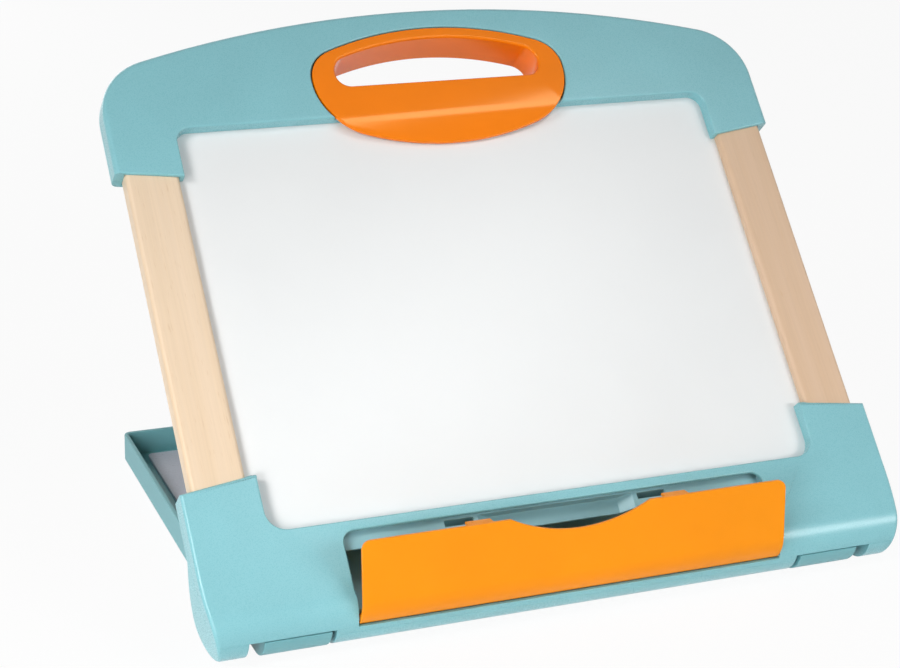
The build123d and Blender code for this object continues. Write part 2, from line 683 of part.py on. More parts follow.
# Door of the marker compartment, hinged near its lower edge, drawn standing open
with BuildPart() as door_panel:
    with BuildSketch(door_side.offset(-opening_half + door_side_gap)):
        with Locations((-door_axis[0], -door_axis[1])):
            Circle(hinge_round)
            Circle(hinge_round - door_thickness, mode=Mode.SUBTRACT)
        with BuildLine():
            Polyline((-door_axis[0], -door_axis[1]), door_axis,
                     (-door_axis[0], hinge_round * 2), close=True)
        make_face(mode=Mode.INTERSECT)
        with Locations((-door_axis[0], face_n - door_axis[1])):
            Rectangle(door_top, door_thickness, align=(Align.MIN, Align.MAX))
        Circle(door_knuckle_radius)
    extrude(amount=(opening_half - door_side_gap) * 2)
    top_corners = door_panel.edges().filter_by(
        lambda edge: abs((edge @ 0.5 - door_point).dot(door_up) - door_top + door_axis[0]) < fit
        and abs(abs((edge @ 0.5).X) - opening_half + door_side_gap) < fit)
    fillet(top_corners, door_round)
    with BuildSketch(door_face.offset(-hinge_round)):
        with BuildLine():
            ThreePointArc((-finger_dip_half, door_top - door_axis[0]),
                          (0, door_top - door_axis[0] - finger_dip),
                          (finger_dip_half, door_top - door_axis[0]))
            Polyline((finger_dip_half, door_top - door_axis[0]),
                     (finger_dip_half, door_top + casing_depth * 2),
                     (-finger_dip_half, door_top + casing_depth * 2),
                     (-finger_dip_half, door_top - door_axis[0]))
        make_face()
    extrude(amount=casing_half, mode=Mode.SUBTRACT)
    with BuildSketch(door_face.offset(face_n - door_axis[1] - door_thickness)):
        with Locations((-catch_x, door_top - door_axis[0]), (catch_x, door_top - door_axis[0])):
            Rectangle(catch_width, catch_thickness, align=(Align.CENTER, Align.MAX))
    extrude(amount=-catch_reach)
    with BuildSketch(door_side.offset(-opening_half)):
        Circle(door_rod_radius)
    extrude(amount=opening_half * 2, mode=Mode.SUBTRACT)
door_panel.part.label = "door_panel"
export_step(door_panel.part, "parts/door_panel.step")

with BuildPart() as door_hinge_rod:
    with BuildSketch(door_side.offset(-opening_half - jamb_width)):
        Circle(door_rod_radius)
    extrude(amount=(opening_half + jamb_width) * 2)
door_hinge_rod.part.label = "door_hinge_rod"
export_step(door_hinge_rod.part, "parts/door_hinge_rod.step")

# Wooden rails, grooved on their inner edge for the writing panel and its backing
with BuildPart() as left_rail:
    with BuildSketch(board.offset(rail_back_n)):
        with Locations((-rail_centre, (rail_bottom_u + rail_top_u) / 2)):
            Rectangle(rail_width, rail_top_u - rail_bottom_u)
    extrude(amount=rail_thickness)
    fillet(left_rail.edges().filter_by(lambda edge: edge.length > rail_width * 2),
           rail_edge_round)
    with BuildSketch(board.offset(backing_back_n)):
        with Locations((-panel_half, rail_bottom_u)):
            Rectangle(panel_grip * 2, rail_top_u, align=(Align.MIN, Align.MIN))
    extrude(amount=panel_front_n - backing_back_n, mode=Mode.SUBTRACT)
    with BuildSketch(board.offset(rail_back_n)):
        with Locations(*(rail_screws_low + rail_screws_high)):
            Circle(screw_radius)
    extrude(amount=screw_bite, mode=Mode.SUBTRACT)
left_rail.part.label = "left_rail"
export_step(left_rail.part, "parts/left_rail.step")

with BuildPart() as right_rail:
    mirror(left_rail.part, about=Plane.YZ)
right_rail.part.label = "right_rail"
export_step(right_rail.part, "parts/right_rail.step")

with BuildPart() as writing_panel:
    with BuildSketch(board.offset(panel_back_n)):
        with Locations((0, (panel_bottom_u + panel_top_u) / 2)):
            Rectangle(panel_half * 2, panel_top_u - panel_bottom_u)
    extrude(amount=panel_thickness)
writing_panel.part.label = "writing_panel"
export_step(writing_panel.part, "parts/writing_panel.step")

with BuildPart() as backing_panel:
    with BuildSketch(board.offset(backing_back_n)):
        with Locations((0, (panel_bottom_u + panel_top_u) / 2)):
            Rectangle(panel_half * 2, panel_top_u - panel_bottom_u)
        with Locations(*bracket_screw_spots):
            Circle(small_screw_radius, mode=Mode.SUBTRACT)
    extrude(amount=backing_thickness)
backing_panel.part.label = "backing_panel"
export_step(backing_panel.part, "parts/backing_panel.step")

# Outlines of the cap, the clip and the hand hole, drawn flat for use at several levels
with BuildSketch() as cap_outline:
    with BuildLine():
        cap_base = Polyline((0, cap_end_u), (bezel_top_half + bezel_wall, cap_end_u),
                            (cap_half, cap_end_u + cap_end_rise))
        cap_side = Line(cap_base @ 1, (cap_half, cap_corner_u))
        cap_corner = CenterArc((cap_corner_x, cap_corner_u), cap_corner_radius, 0,
                               90 - math.degrees(math.asin(cap_corner_x / cap_corner_reach)))
        ThreePointArc(cap_corner @ 1,
                      (cap_corner_x / 2, cap_arch_u + math.sqrt(cap_arch_radius ** 2
                                                                - (cap_corner_x / 2) ** 2)),
                      (0, cap_top_u))
        mirror(about=Plane.YZ)
    make_face()

with BuildSketch() as clip_outline:
    with BuildLine():
        ThreePointArc((-clip_half, clip_low_u), (0, clip_bottom_u), (clip_half, clip_low_u))
        Line((clip_half, clip_low_u), (clip_half, clip_high_u))
        ThreePointArc((clip_half, clip_high_u), (0, clip_top_u), (-clip_half, clip_high_u))
        Line((-clip_half, clip_high_u), (-clip_half, clip_low_u))
    make_face()
    fillet(clip_outline.vertices().group_by(Axis.Y)[0], clip_bottom_round)
    fillet(clip_outline.vertices().filter_by(lambda corner: abs(corner.Y - clip_high_u) < fit),
           clip_top_round)

with BuildSketch() as hole_outline:
    with BuildLine():
        ThreePointArc((hole_half, hole_side_u), (0, hole_top_u), (-hole_half, hole_side_u))
        Polyline((-hole_half, hole_side_u), (-hole_half, hole_bottom_u),
                 (hole_half, hole_bottom_u), (hole_half, hole_side_u))
    make_face()
    fillet(hole_outline.vertices().group_by(Axis.Y)[0], hole_bottom_round)
    fillet(hole_outline.vertices().filter_by(lambda corner: abs(corner.Y - hole_side_u) < fit),
           hole_top_round)

# Top cap, front shell, with the shaped opening for the clip
with BuildPart() as top_cap_front:
    with BuildSketch(board.offset(split_n)):
        add(cap_outline.sketch)
    extrude(amount=face_n - split_n)
    fillet(top_cap_front.edges().filter_by(
        lambda edge: abs(n_of(edge) - face_n) < fit
        and u_of(edge) > cap_end_u + cap_end_rise + fit), cap_edge_round)
    with BuildSketch(board.offset(split_n - 1)):
        add(cap_outline.sketch)
        offset(amount=-side_wall, mode=Mode.REPLACE)
    extrude(amount=inner_face_n - split_n + 1, mode=Mode.SUBTRACT)
    with BuildSketch(board.offset(panel_front_n)):
        with Locations((0, bezel_top_u + bezel_wall)):
            Rectangle((bezel_top_half + bezel_wall) * 2, bezel_top_u + bezel_wall - cap_end_u,
                      align=(Align.CENTER, Align.MAX))
    extrude(amount=inner_face_n - panel_front_n + fit)
    with BuildSketch(board.offset(split_n - 1)) as cap_window:
        with Locations((0, bezel_top_u)):
            Rectangle(bezel_top_half * 2, bezel_top_u - bezel_bottom_u,
                      align=(Align.CENTER, Align.MAX))
        fillet(cap_window.vertices().group_by(Axis.Y)[-1], bezel_top_round)
    extrude(amount=casing_depth, mode=Mode.SUBTRACT)
    with BuildSketch(board.offset(split_n - 1)):
        with Locations((-rail_centre, cap_end_u + side_wall), (rail_centre, cap_end_u + side_wall)):
            Rectangle(rail_width, side_wall * 4)
    extrude(amount=rail_front_n - split_n + 1, mode=Mode.SUBTRACT)
    with BuildSketch(board.offset(backing_back_n)):
        with Locations((0, (panel_bottom_u + panel_top_u) / 2)):
            Rectangle(panel_half * 2, panel_top_u - panel_bottom_u)
    extrude(amount=panel_front_n - backing_back_n, mode=Mode.SUBTRACT)
    with BuildSketch(board.offset(inner_face_n - 1)):
        add(clip_outline.sketch)
        offset(amount=clip_gap, mode=Mode.REPLACE)
    extrude(amount=casing_depth, mode=Mode.SUBTRACT)
    with BuildSketch(board.offset(cover_n)):
        with Locations(*cap_screw_spots):
            Circle(boss_radius)
    extrude(amount=inner_face_n - cover_n)
    with BuildSketch(board.offset(cover_n)):
        with Locations(*cap_screw_spots):
            Circle(screw_radius)
    extrude(amount=screw_bite, mode=Mode.SUBTRACT)
top_cap_front.part.label = "top_cap_front"
export_step(top_cap_front.part, "parts/top_cap_front.step")

# Top cap, back shell, with the collar round the hand hole and the posts for the clip's pin
with BuildPart() as top_cap_back:
    with BuildSketch(board.offset(back_n)):
        add(cap_outline.sketch)
    extrude(amount=split_n - back_n)
    fillet(top_cap_back.edges().filter_by(
        lambda edge: abs(n_of(edge) - back_n) < fit
        and u_of(edge) > cap_end_u + cap_end_rise + fit), cap_edge_round)
    with BuildSketch(board.offset(cover_n)):
        add(cap_outline.sketch)
        offset(amount=-side_wall, mode=Mode.REPLACE)
    extrude(amount=casing_depth, mode=Mode.SUBTRACT)
    with BuildSketch(board.offset(cover_n)):
        with Locations((0, bezel_top_u + bezel_wall)):
            Rectangle((bezel_top_half + bezel_wall) * 2, bezel_top_u + bezel_wall - cap_end_u,
                      align=(Align.CENTER, Align.MAX))
    extrude(amount=backing_back_n - cover_n)
    with BuildSketch(board.offset(back_n - 1)) as cap_back_window:
        with Locations((0, bezel_top_u)):
            Rectangle(bezel_top_half * 2, bezel_top_u - bezel_bottom_u,
                      align=(Align.CENTER, Align.MAX))
        fillet(cap_back_window.vertices().group_by(Axis.Y)[-1], bezel_top_round)
    extrude(amount=casing_depth, mode=Mode.SUBTRACT)
    with BuildSketch(board.offset(rail_back_n)):
        with Locations((-rail_centre, cap_end_u + side_wall), (rail_centre, cap_end_u + side_wall)):
            Rectangle(rail_width, side_wall * 4)
    extrude(amount=casing_depth, mode=Mode.SUBTRACT)
    with BuildSketch(board.offset(backing_back_n)):
        with Locations((0, (panel_bottom_u + panel_top_u) / 2)):
            Rectangle(panel_half * 2, panel_top_u - panel_bottom_u)
    extrude(amount=panel_front_n - backing_back_n, mode=Mode.SUBTRACT)
    with BuildSketch(board.offset(bulge_back_n)):
        add(hole_outline.sketch)
        offset(amount=tube_wall + tube_clearance + bulge_wall, mode=Mode.REPLACE)
    extrude(amount=cover_n - bulge_back_n)
    with BuildSketch(board.offset(bulge_back_n - 1)):
        add(hole_outline.sketch)
        offset(amount=tube_wall + tube_clearance, mode=Mode.REPLACE)
    extrude(amount=casing_depth, mode=Mode.SUBTRACT)
    for x_start in (post_inner, -post_inner - post_thickness):
        with BuildSketch(side.offset(x_start)):
            with Locations((clip_pivot_u, cover_n)):
                Rectangle(lug_radius * 2, clip_pivot_n - cover_n,
                          align=(Align.CENTER, Align.MIN))
            with Locations((clip_pivot_u, clip_pivot_n)):
                Circle(lug_radius)
                Circle(clip_pin_radius, mode=Mode.SUBTRACT)
        extrude(amount=post_thickness)
    with BuildSketch(board.offset(back_n - 1)):
        with Locations(*(cap_screw_spots + rail_screws_high)):
            Circle(screw_radius)
    extrude(amount=casing_depth / 2, mode=Mode.SUBTRACT)
top_cap_back.part.label = "top_cap_back"
export_step(top_cap_back.part, "parts/top_cap_back.step")

# Handle and paper clip: face plate bent down to the board, wall round the hand hole, lugs
with BuildPart() as clip_handle:
    with BuildSketch(board):
        add(clip_outline.sketch)
    extrude(amount=face_n * 2)
    with BuildSketch(side.offset(-casing_half)):
        with BuildLine():
            Polyline((cap_top_u, face_n), (clip_bend_u, face_n),
                     (clip_bend_u - clip_bend_length, face_n - clip_bend_drop),
                     (clip_bottom_u - 1, clip_tip_n),
                     (clip_bottom_u - 1, clip_tip_n - clip_thickness),
                     (clip_bend_u - clip_bend_length, face_n - clip_bend_drop - clip_thickness),
                     (clip_bend_u, face_n - clip_thickness), (cap_top_u, face_n - clip_thickness),
                     close=True)
        make_face()
    extrude(amount=overall_width, mode=Mode.INTERSECT)
    with BuildSketch(board.offset(tube_back_n)):
        add(hole_outline.sketch)
        offset(amount=tube_wall, mode=Mode.REPLACE)
    extrude(amount=face_n - clip_thickness / 2 - tube_back_n)
    with BuildSketch(board.offset(tube_back_n - 1)):
        add(hole_outline.sketch)
    extrude(amount=casing_depth * 2, mode=Mode.SUBTRACT)
    fillet(clip_handle.edges().filter_by(
        lambda edge: abs(n_of(edge) - face_n) < fit and abs((edge @ 0.5).X) < hole_half + 1
        and hole_bottom_u - 1 < u_of(edge) < hole_top_u + 1), hole_edge_round)
    for lug_x in lug_spots:
        for x_start in (lug_x, -lug_x - lug_thickness):
            with BuildSketch(side.offset(x_start)):
                with Locations((clip_pivot_u, clip_pivot_n)):
                    Rectangle(lug_radius * 2, face_n - clip_thickness / 2 - clip_pivot_n,
                              align=(Align.CENTER, Align.MIN))
                    Circle(lug_radius)
            extrude(amount=lug_thickness)
    with BuildSketch(side.offset(-casing_half)):
        with Locations((clip_pivot_u, clip_pivot_n)):
            Circle(clip_pin_radius + running_gap)
    extrude(amount=overall_width, mode=Mode.SUBTRACT)
clip_handle.part.label = "clip_handle"
export_step(clip_handle.part, "parts/clip_handle.step")

with BuildPart() as clip_pin:
    with BuildSketch(side.offset(-post_inner - post_thickness)):
        with Locations((clip_pivot_u, clip_pivot_n)):
            Circle(clip_pin_radius)
    extrude(amount=(post_inner + post_thickness) * 2)
clip_pin.part.label = "clip_pin"
export_step(clip_pin.part, "parts/clip_pin.step")

# Torsion springs on the clip's pin, one leg under the plate and one over the back shell
with BuildPart() as clip_springs:
    for centre_x in (-spring_x, spring_x):
        with BuildSketch(side.offset(centre_x - spring_length / 2)):
            with Locations((clip_pivot_u, clip_pivot_n)):
                Circle(spring_radius)
                Circle(clip_pin_radius + fit * 2, mode=Mode.SUBTRACT)
        extrude(amount=spring_length)
        for x_start, base_n, tip_n in (
                (centre_x - spring_length / 2, clip_pivot_n, face_n - clip_thickness),
                (centre_x + spring_length / 2 - spring_wire, cover_n + 1.6, clip_pivot_n)):
            with BuildSketch(side.offset(x_start)):
                with Locations((clip_pivot_u - spring_radius, base_n)):
                    Rectangle(spring_wire, tip_n - base_n, align=(Align.MIN, Align.MIN))
            extrude(amount=spring_wire)
clip_springs.part.label = "clip_springs"
export_step(clip_springs.part, "parts/clip_springs.step")

# Screws of the two shells and of the rails
with BuildPart() as casing_screws:
    for spots, level in ((arm_boss_spots, back_n), (centre_boss_spots, box_back_n)):
        with BuildSketch(board.offset(level)):
            with Locations(*spots):
                Circle(screw_head_radius)
        extrude(amount=-screw_head_height)
        with BuildSketch(board.offset(level)):
            with Locations(*spots):
                Circle(screw_radius)
        extrude(amount=cover_n + screw_bite - 1 - level)
casing_screws.part.label = "casing_screws"
export_step(casing_screws.part, "parts/casing_screws.step")

with BuildPart() as cap_screws:
    with BuildSketch(board.offset(back_n)):
        with Locations(*cap_screw_spots):
            Circle(screw_head_radius)
    extrude(amount=-screw_head_height)
    with BuildSketch(board.offset(back_n)):
        with Locations(*cap_screw_spots):
            Circle(screw_radius)
    extrude(amount=cover_n - back_n + screw_bite - 1)
cap_screws.part.label = "cap_screws"
export_step(cap_screws.part, "parts/cap_screws.step")

with BuildPart() as rail_screws:
    with BuildSketch(board.offset(back_n)):
        with Locations(*(rail_screws_low + rail_screws_high)):
            Circle(screw_head_radius)
    extrude(amount=-screw_head_height)
    with BuildSketch(board.offset(back_n)):
        with Locations(*(rail_screws_low + rail_screws_high)):
            Circle(screw_radius)
    extrude(amount=cover_n - back_n + screw_bite)
rail_screws.part.label = "rail_screws"
export_step(rail_screws.part, "parts/rail_screws.step")

# Prop: two brackets on the backing, their pins, and a frame that swings down to the racks
with BuildPart() as prop_brackets:
    with BuildSketch(board.offset(backing_back_n - bracket_plate)):
        with Locations((-prop_x, prop_pivot_u), (prop_x, prop_pivot_u)):
            RectangleRounded(bracket_width, bracket_height, 3)
        with Locations(*bracket_screw_spots):
            Circle(small_screw_radius, mode=Mode.SUBTRACT)
    extrude(amount=bracket_plate)
    for centre_x in (-prop_x, prop_x):
        for x_start in (centre_x - prop_bar_width / 2 - cheek_gap - bracket_cheek,
                        centre_x + prop_bar_width / 2 + cheek_gap):
            with BuildSketch(side.offset(x_start)):
                with Locations((prop_pivot_u, prop_pivot_n)):
                    Circle(bracket_lug_radius)
                    Rectangle(bracket_lug_radius * 2,
                              backing_back_n - bracket_plate - prop_pivot_n,
                              align=(Align.CENTER, Align.MIN))
                    Circle(prop_pin_radius, mode=Mode.SUBTRACT)
            extrude(amount=bracket_cheek)
prop_brackets.part.label = "prop_brackets"
export_step(prop_brackets.part, "parts/prop_brackets.step")

with BuildPart() as prop_pins:
    for centre_x in (-prop_x, prop_x):
        with BuildSketch(side.offset(centre_x - prop_bar_width / 2 - cheek_gap - bracket_cheek)):
            with Locations((prop_pivot_u, prop_pivot_n)):
                Circle(prop_pin_radius)
        extrude(amount=prop_bar_width + 2 * (cheek_gap + bracket_cheek))
prop_pins.part.label = "prop_pins"
export_step(prop_pins.part, "parts/prop_pins.step")

with BuildPart() as bracket_screws:
    with BuildSketch(board.offset(backing_back_n - bracket_plate)):
        with Locations(*bracket_screw_spots):
            Circle(small_head_radius)
    extrude(amount=-small_head_height)
    with BuildSketch(board.offset(backing_back_n - bracket_plate)):
        with Locations(*bracket_screw_spots):
            Circle(small_screw_radius)
    extrude(amount=bracket_plate + backing_thickness - 0.4)
bracket_screws.part.label = "bracket_screws"
export_step(bracket_screws.part, "parts/bracket_screws.step")

with BuildPart() as prop_frame:
    for centre_x in (-prop_x, prop_x):
        with BuildSketch(prop_side.offset(centre_x - prop_bar_width / 2)):
            Rectangle(prop_length, prop_bar_thickness, align=(Align.MIN, Align.CENTER))
            Circle(prop_bar_thickness / 2)
            with Locations((prop_length, 0)):
                Circle(prop_bar_thickness / 2)
                Circle(prop_rod_radius, mode=Mode.SUBTRACT)
            Circle(prop_pin_radius + running_gap, mode=Mode.SUBTRACT)
        extrude(amount=prop_bar_width)
    with BuildSketch(prop_side.offset(-prop_x)):
        with Locations((prop_tie_start, 0)):
            Rectangle(prop_tie_width, prop_tie_thickness, align=(Align.MIN, Align.CENTER))
    extrude(amount=prop_x * 2)
prop_frame.part.label = "prop_frame"
export_step(prop_frame.part, "parts/prop_frame.step")

with BuildPart() as prop_foot_rod:
    with BuildSketch(prop_side.offset(-prop_rod_half)):
        with Locations((prop_length, 0)):
            Circle(prop_rod_radius)
    extrude(amount=prop_rod_half * 2)
prop_foot_rod.part.label = "prop_foot_rod"
export_step(prop_foot_rod.part, "parts/prop_foot_rod.step")

with BuildPart() as prop_foot_sleeves:
    for centre_x in (-prop_x, prop_x):
        for x_start in (centre_x - prop_bar_width / 2 - prop_foot_length,
                        centre_x + prop_bar_width / 2):
            with BuildSketch(prop_side.offset(x_start)):
                with Locations((prop_length, 0)):
                    Circle(prop_foot_radius)
                    Circle(prop_rod_radius, mode=Mode.SUBTRACT)
            extrude(amount=prop_foot_length)
prop_foot_sleeves.part.label = "prop_foot_sleeves"
export_step(prop_foot_sleeves.part, "parts/prop_foot_sleeves.step")
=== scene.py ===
"""Looks of a children's tabletop easel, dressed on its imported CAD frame.

Everything is in metres in the frame of the CAD part: +Z is up, the origin lies on the table
under the middle of the tray, and +Y runs back under the board. Places on the board are given in
the board's own frame, in millimetres from its hinge axis: x across, u up the board, and n out of
its front face. Sizes that are dataclass fields are in millimetres, and those of the studio are
in metres.
"""

import json
import logging
import math
from dataclasses import dataclass, field
from enum import Enum
from typing import Any

import bmesh
import bpy
from mathutils import Matrix, Vector

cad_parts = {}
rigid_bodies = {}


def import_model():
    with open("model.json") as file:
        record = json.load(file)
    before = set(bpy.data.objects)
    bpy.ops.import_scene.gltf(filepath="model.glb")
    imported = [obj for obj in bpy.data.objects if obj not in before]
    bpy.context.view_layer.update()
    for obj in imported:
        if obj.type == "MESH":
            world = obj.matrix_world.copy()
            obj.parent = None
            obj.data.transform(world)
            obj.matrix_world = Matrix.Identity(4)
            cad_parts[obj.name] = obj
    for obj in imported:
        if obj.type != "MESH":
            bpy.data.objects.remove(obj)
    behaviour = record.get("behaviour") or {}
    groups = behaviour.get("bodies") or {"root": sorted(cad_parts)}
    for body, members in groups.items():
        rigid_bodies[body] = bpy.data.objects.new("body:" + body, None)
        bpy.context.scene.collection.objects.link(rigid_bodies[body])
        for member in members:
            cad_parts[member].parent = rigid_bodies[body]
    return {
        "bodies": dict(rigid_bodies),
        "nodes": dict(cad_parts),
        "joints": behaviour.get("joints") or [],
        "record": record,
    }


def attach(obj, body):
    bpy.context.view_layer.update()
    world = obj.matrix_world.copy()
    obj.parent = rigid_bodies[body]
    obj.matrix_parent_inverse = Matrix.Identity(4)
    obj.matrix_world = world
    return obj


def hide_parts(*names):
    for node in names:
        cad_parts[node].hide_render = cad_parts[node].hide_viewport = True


LOG = logging.getLogger("easel")
MM = 0.001
BOARD_TILT = math.radians(45.0)
HINGE_HEIGHT = 18.5
HINGE_Y = -132.0
# How far out of the board the front face of its casings stands.
FRONT_FACE = 18.2
BOARD_AXES = Matrix.Rotation(math.pi / 2 - BOARD_TILT, 4, "X")
# Edges that turn less than the first are shaded smooth, and those past the second are rounded.
SMOOTH_BELOW = math.radians(42.0)
HARD_ABOVE = math.radians(38.0)
# Nearly all values of a noise lie between these two.
NOISE_LOW = 0.3
NOISE_HIGH = 0.7
# The numbers of a Mix node's colour inputs and output, whose names its other kinds share.
SHARE, UNDER, OVER, MIXED = 0, 6, 7, 2
WHITE = (1.0, 1.0, 1.0, 1.0)

Shape, Vert, Edge = bmesh.types.BMesh, bmesh.types.BMVert, bmesh.types.BMEdge
Tree, Node, Socket = bpy.types.NodeTree, bpy.types.Node, bpy.types.NodeSocket
Material, Piece = bpy.types.Material, bpy.types.Object
Inputs = dict[str | int, Any]
Ring = list[Edge]


def linear(colour: str) -> tuple[float, float, float, float]:
    """Turn an sRGB hex colour into linear values.

    Args:
        colour: Six hex digits.

    Returns:
        The linear red, green and blue, and an alpha of 1.
    """
    channels = [int(colour[i : i + 2], 16) / 255 for i in (0, 2, 4)]
    values = [c / 12.92 if c <= 0.04045 else ((c + 0.055) / 1.055) ** 2.4 for c in channels]
    return (values[0], values[1], values[2], 1.0)


def board_point(x: float, u: float, n: float) -> Vector:
    """Turn a place on the board into the frame's metres.

    Args:
        x: Millimetres across, to the right.
        u: Millimetres up the board from the hinge axis.
        n: Millimetres out of the board from the hinge axis.

    Returns:
        The point in metres.
    """
    up, out = math.sin(BOARD_TILT), math.cos(BOARD_TILT)
    return Vector((x, HINGE_Y + u * up - n * out, HINGE_HEIGHT + u * out + n * up)) * MM


def board_matrix(x: float, u: float, n: float) -> Matrix:
    """Give the turn and place of a shape made at the origin with +Z out of the board.

    Args:
        x: Millimetres across, to the right.
        u: Millimetres up the board from the hinge axis.
        n: Millimetres out of the board from the hinge axis.

    Returns:
        The matrix that puts it there.
    """
    return Matrix.Translation(board_point(x, u, n)) @ BOARD_AXES


def extrude_ring(shape: Shape, ring: Ring) -> tuple[list[Vert], Ring]:
    """Extrude a ring or a row of edges where it is.

    Args:
        shape: The mesh that the edges are in.
        ring: The edges.

    Returns:
        The vertices and the edges of the new ring.
    """
    step = bmesh.ops.extrude_edge_only(shape, edges=ring)
    verts = [v for v in step["geom"] if isinstance(v, Vert)]
    edges = [
        e for e in step["geom"] if isinstance(e, Edge) and all(v in verts for v in e.verts)
    ]
    return verts, edges


def pour(source: Shape, target: Shape) -> None:
    """Put all of one mesh into another, and free it.

    Args:
        source: The mesh that is emptied.
        target: The mesh that takes it.
    """
    mesh = bpy.data.meshes.new("poured")
    source.to_mesh(mesh)
    source.free()
    target.from_mesh(mesh)
    bpy.data.meshes.remove(mesh)


def fill_inputs(tree: Tree, node: Node, inputs: Inputs) -> None:
    """Give a node's inputs their values or links.

    Args:
        tree: The node tree it is in.
        node: The node.
        inputs: For each named or numbered input a value, an output, or a node, which stands
            for its first output.
    """
    for name, value in inputs.items():
        if isinstance(value, Node):
            value = value.outputs[0]
        if isinstance(value, Socket):
            tree.links.new(value, node.inputs[name])
        else:
            node.inputs[name].default_value = value


def add_node(tree: Tree, kind: str, inputs: Inputs | None = None, **settings: Any) -> Node:
    """Add a node, set its options, and give its inputs values or links.

    Args:
        tree: The node tree it goes in.
        kind: The node's Blender type.
        inputs: What its inputs get, as fill_inputs takes it.
        **settings: Options of the node itself.

    Returns:
        The new node.
    """
    node = tree.nodes.new(kind)
    for option, value in settings.items():
        setattr(node, option, value)
    fill_inputs(tree, node, inputs or {})
    return node


def patches(place: Socket, size_mm: float, layers: float) -> Inputs:
    """Give the inputs of a noise whose patches have a real size.

    Args:
        place: The coordinates it reads, in metres.
        size_mm: The size of the patches in millimetres.
        layers: How many finer layers it has.

    Returns:
        The noise's inputs.
    """
    return {"Vector": place, "Scale": 1 / (size_mm * MM), "Detail": layers}


def span(value: Any, start: float, end: float, low: float, high: float) -> Inputs:
    """Give the inputs of a range that a value is mapped to.

    Args:
        value: The value, or the node or output that gives it.
        start: The value that becomes low.
        end: The value that becomes high.
        low: The start of the range.
        high: The end of the range.

    Returns:
        The range's inputs.
    """
    return {"Value": value, "From Min": start, "From Max": end, "To Min": low, "To Max": high}


def spread(noise: Node, low: float, high: float) -> Inputs:
    """Give the inputs of a range that the usual values of a noise are mapped to.

    Args:
        noise: The noise.
        low: What its low values become.
        high: What its high values become.

    Returns:
        The range's inputs.
    """
    return span(noise, NOISE_LOW, NOISE_HIGH, low, high)


class Body(Enum):
    """The moving bodies of the easel."""

    TRAY = "tray"
    BOARD = "board"
    DOOR = "door"
    CLIP = "clip"
    PROP = "prop"


class Slot(Enum):
    """The material slots of the CAD record."""

    TEAL_CASING = "teal_casing"
    TEAL_TRAY = "teal_tray"
    ORANGE_DOOR = "orange_door"
    ORANGE_CLIP = "orange_clip"
    BIN = "blue_grey_bin"
    WOOD = "pale_wood"
    WHITE_BOARD = "white_board"
    BACKING = "backing_board"
    GREY_BOARD = "grey_board"
    STEEL = "steel"
    ZINC = "zinc_plate"
    RUBBER = "rubber"


@dataclass(frozen=True)
class Finish:
    """What every finish of the easel has: a name, a colour and how it scatters light."""

    name: str
    colour: str
    roughness: float
    ior: float = 1.5
    metallic: float = 0.0

    def surface(self, tree: Tree, place: Socket) -> Inputs:
        """Add the finish's own pattern.

        Args:
            tree: The material's node tree.
            place: The object's coordinates.

        Returns:
            What the surface shader's inputs get.
        """
        raise NotImplementedError

    def toned(self, tree: Tree, colour: Any, noise: Node, tones: tuple[float, float]) -> Node:
        """Make a colour lighter and darker with a noise.

        Args:
            tree: The material's node tree.
            colour: The colour's values, or the node or output that gives it.
            noise: The noise.
            tones: The brightness at the noise's low and high values.

        Returns:
            The node that gives the toned colour.
        """
        tone = add_node(tree, "ShaderNodeMapRange", spread(noise, *tones))
        return add_node(tree, "ShaderNodeHueSaturation", {"Color": colour, "Value": tone})

    def build(self) -> Material:
        """Make the material.

        Returns:
            The material, which has one surface shader.
        """
        material = bpy.data.materials.new(self.name)
        material.use_nodes = True
        tree = material.node_tree
        tree.nodes.clear()
        shader = add_node(
            tree,
            "ShaderNodeBsdfPrincipled",
            {
                "Base Color": linear(self.colour),
                "Roughness": self.roughness,
                "IOR": self.ior,
                "Metallic": self.metallic,
            },
        )
        add_node(tree, "ShaderNodeOutputMaterial", {"Surface": shader})
        place = add_node(tree, "ShaderNodeTexCoord").outputs["Object"]
        fill_inputs(tree, shader, self.surface(tree, place))
        return material


@dataclass(frozen=True)
class MouldedPlastic(Finish):
    """Injection-moulded plastic with a fine spark-eroded skin: even colour, soft broad gloss."""

    # The mould's texture is about 0.1 mm and is drawn at 0.5 mm, so that it shows at all.
    grain_mm: float = 0.5
    grain_depth_mm: float = 0.003
    cloud_mm: float = 45.0
    tones: tuple[float, float] = (0.97, 1.03)
    gloss_change: float = 0.08
    shine: str = "FFFFFF"

    def surface(self, tree: Tree, place: Socket) -> Inputs:
        """Add the mould's grain and slow clouds of tone.

        Args:
            tree: The material's node tree.
            place: The object's coordinates.

        Returns:
            What the surface shader's inputs get.
        """
        grain = add_node(tree, "ShaderNodeTexNoise", patches(place, self.grain_mm, 2.0))
        cloud = add_node(tree, "ShaderNodeTexNoise", patches(place, self.cloud_mm, 3.0))
        duller, glossier = (self.roughness * (1 + s * self.gloss_change) for s in (1, -1))
        return {
            "Base Color": self.toned(tree, linear(self.colour), cloud, self.tones),
            "Roughness": add_node(tree, "ShaderNodeMapRange", spread(grain, glossier, duller)),
            "Specular Tint": linear(self.shine),
            "Normal": add_node(
                tree, "ShaderNodeBump", {"Height": grain, "Distance": self.grain_depth_mm * MM}
            ),
        }


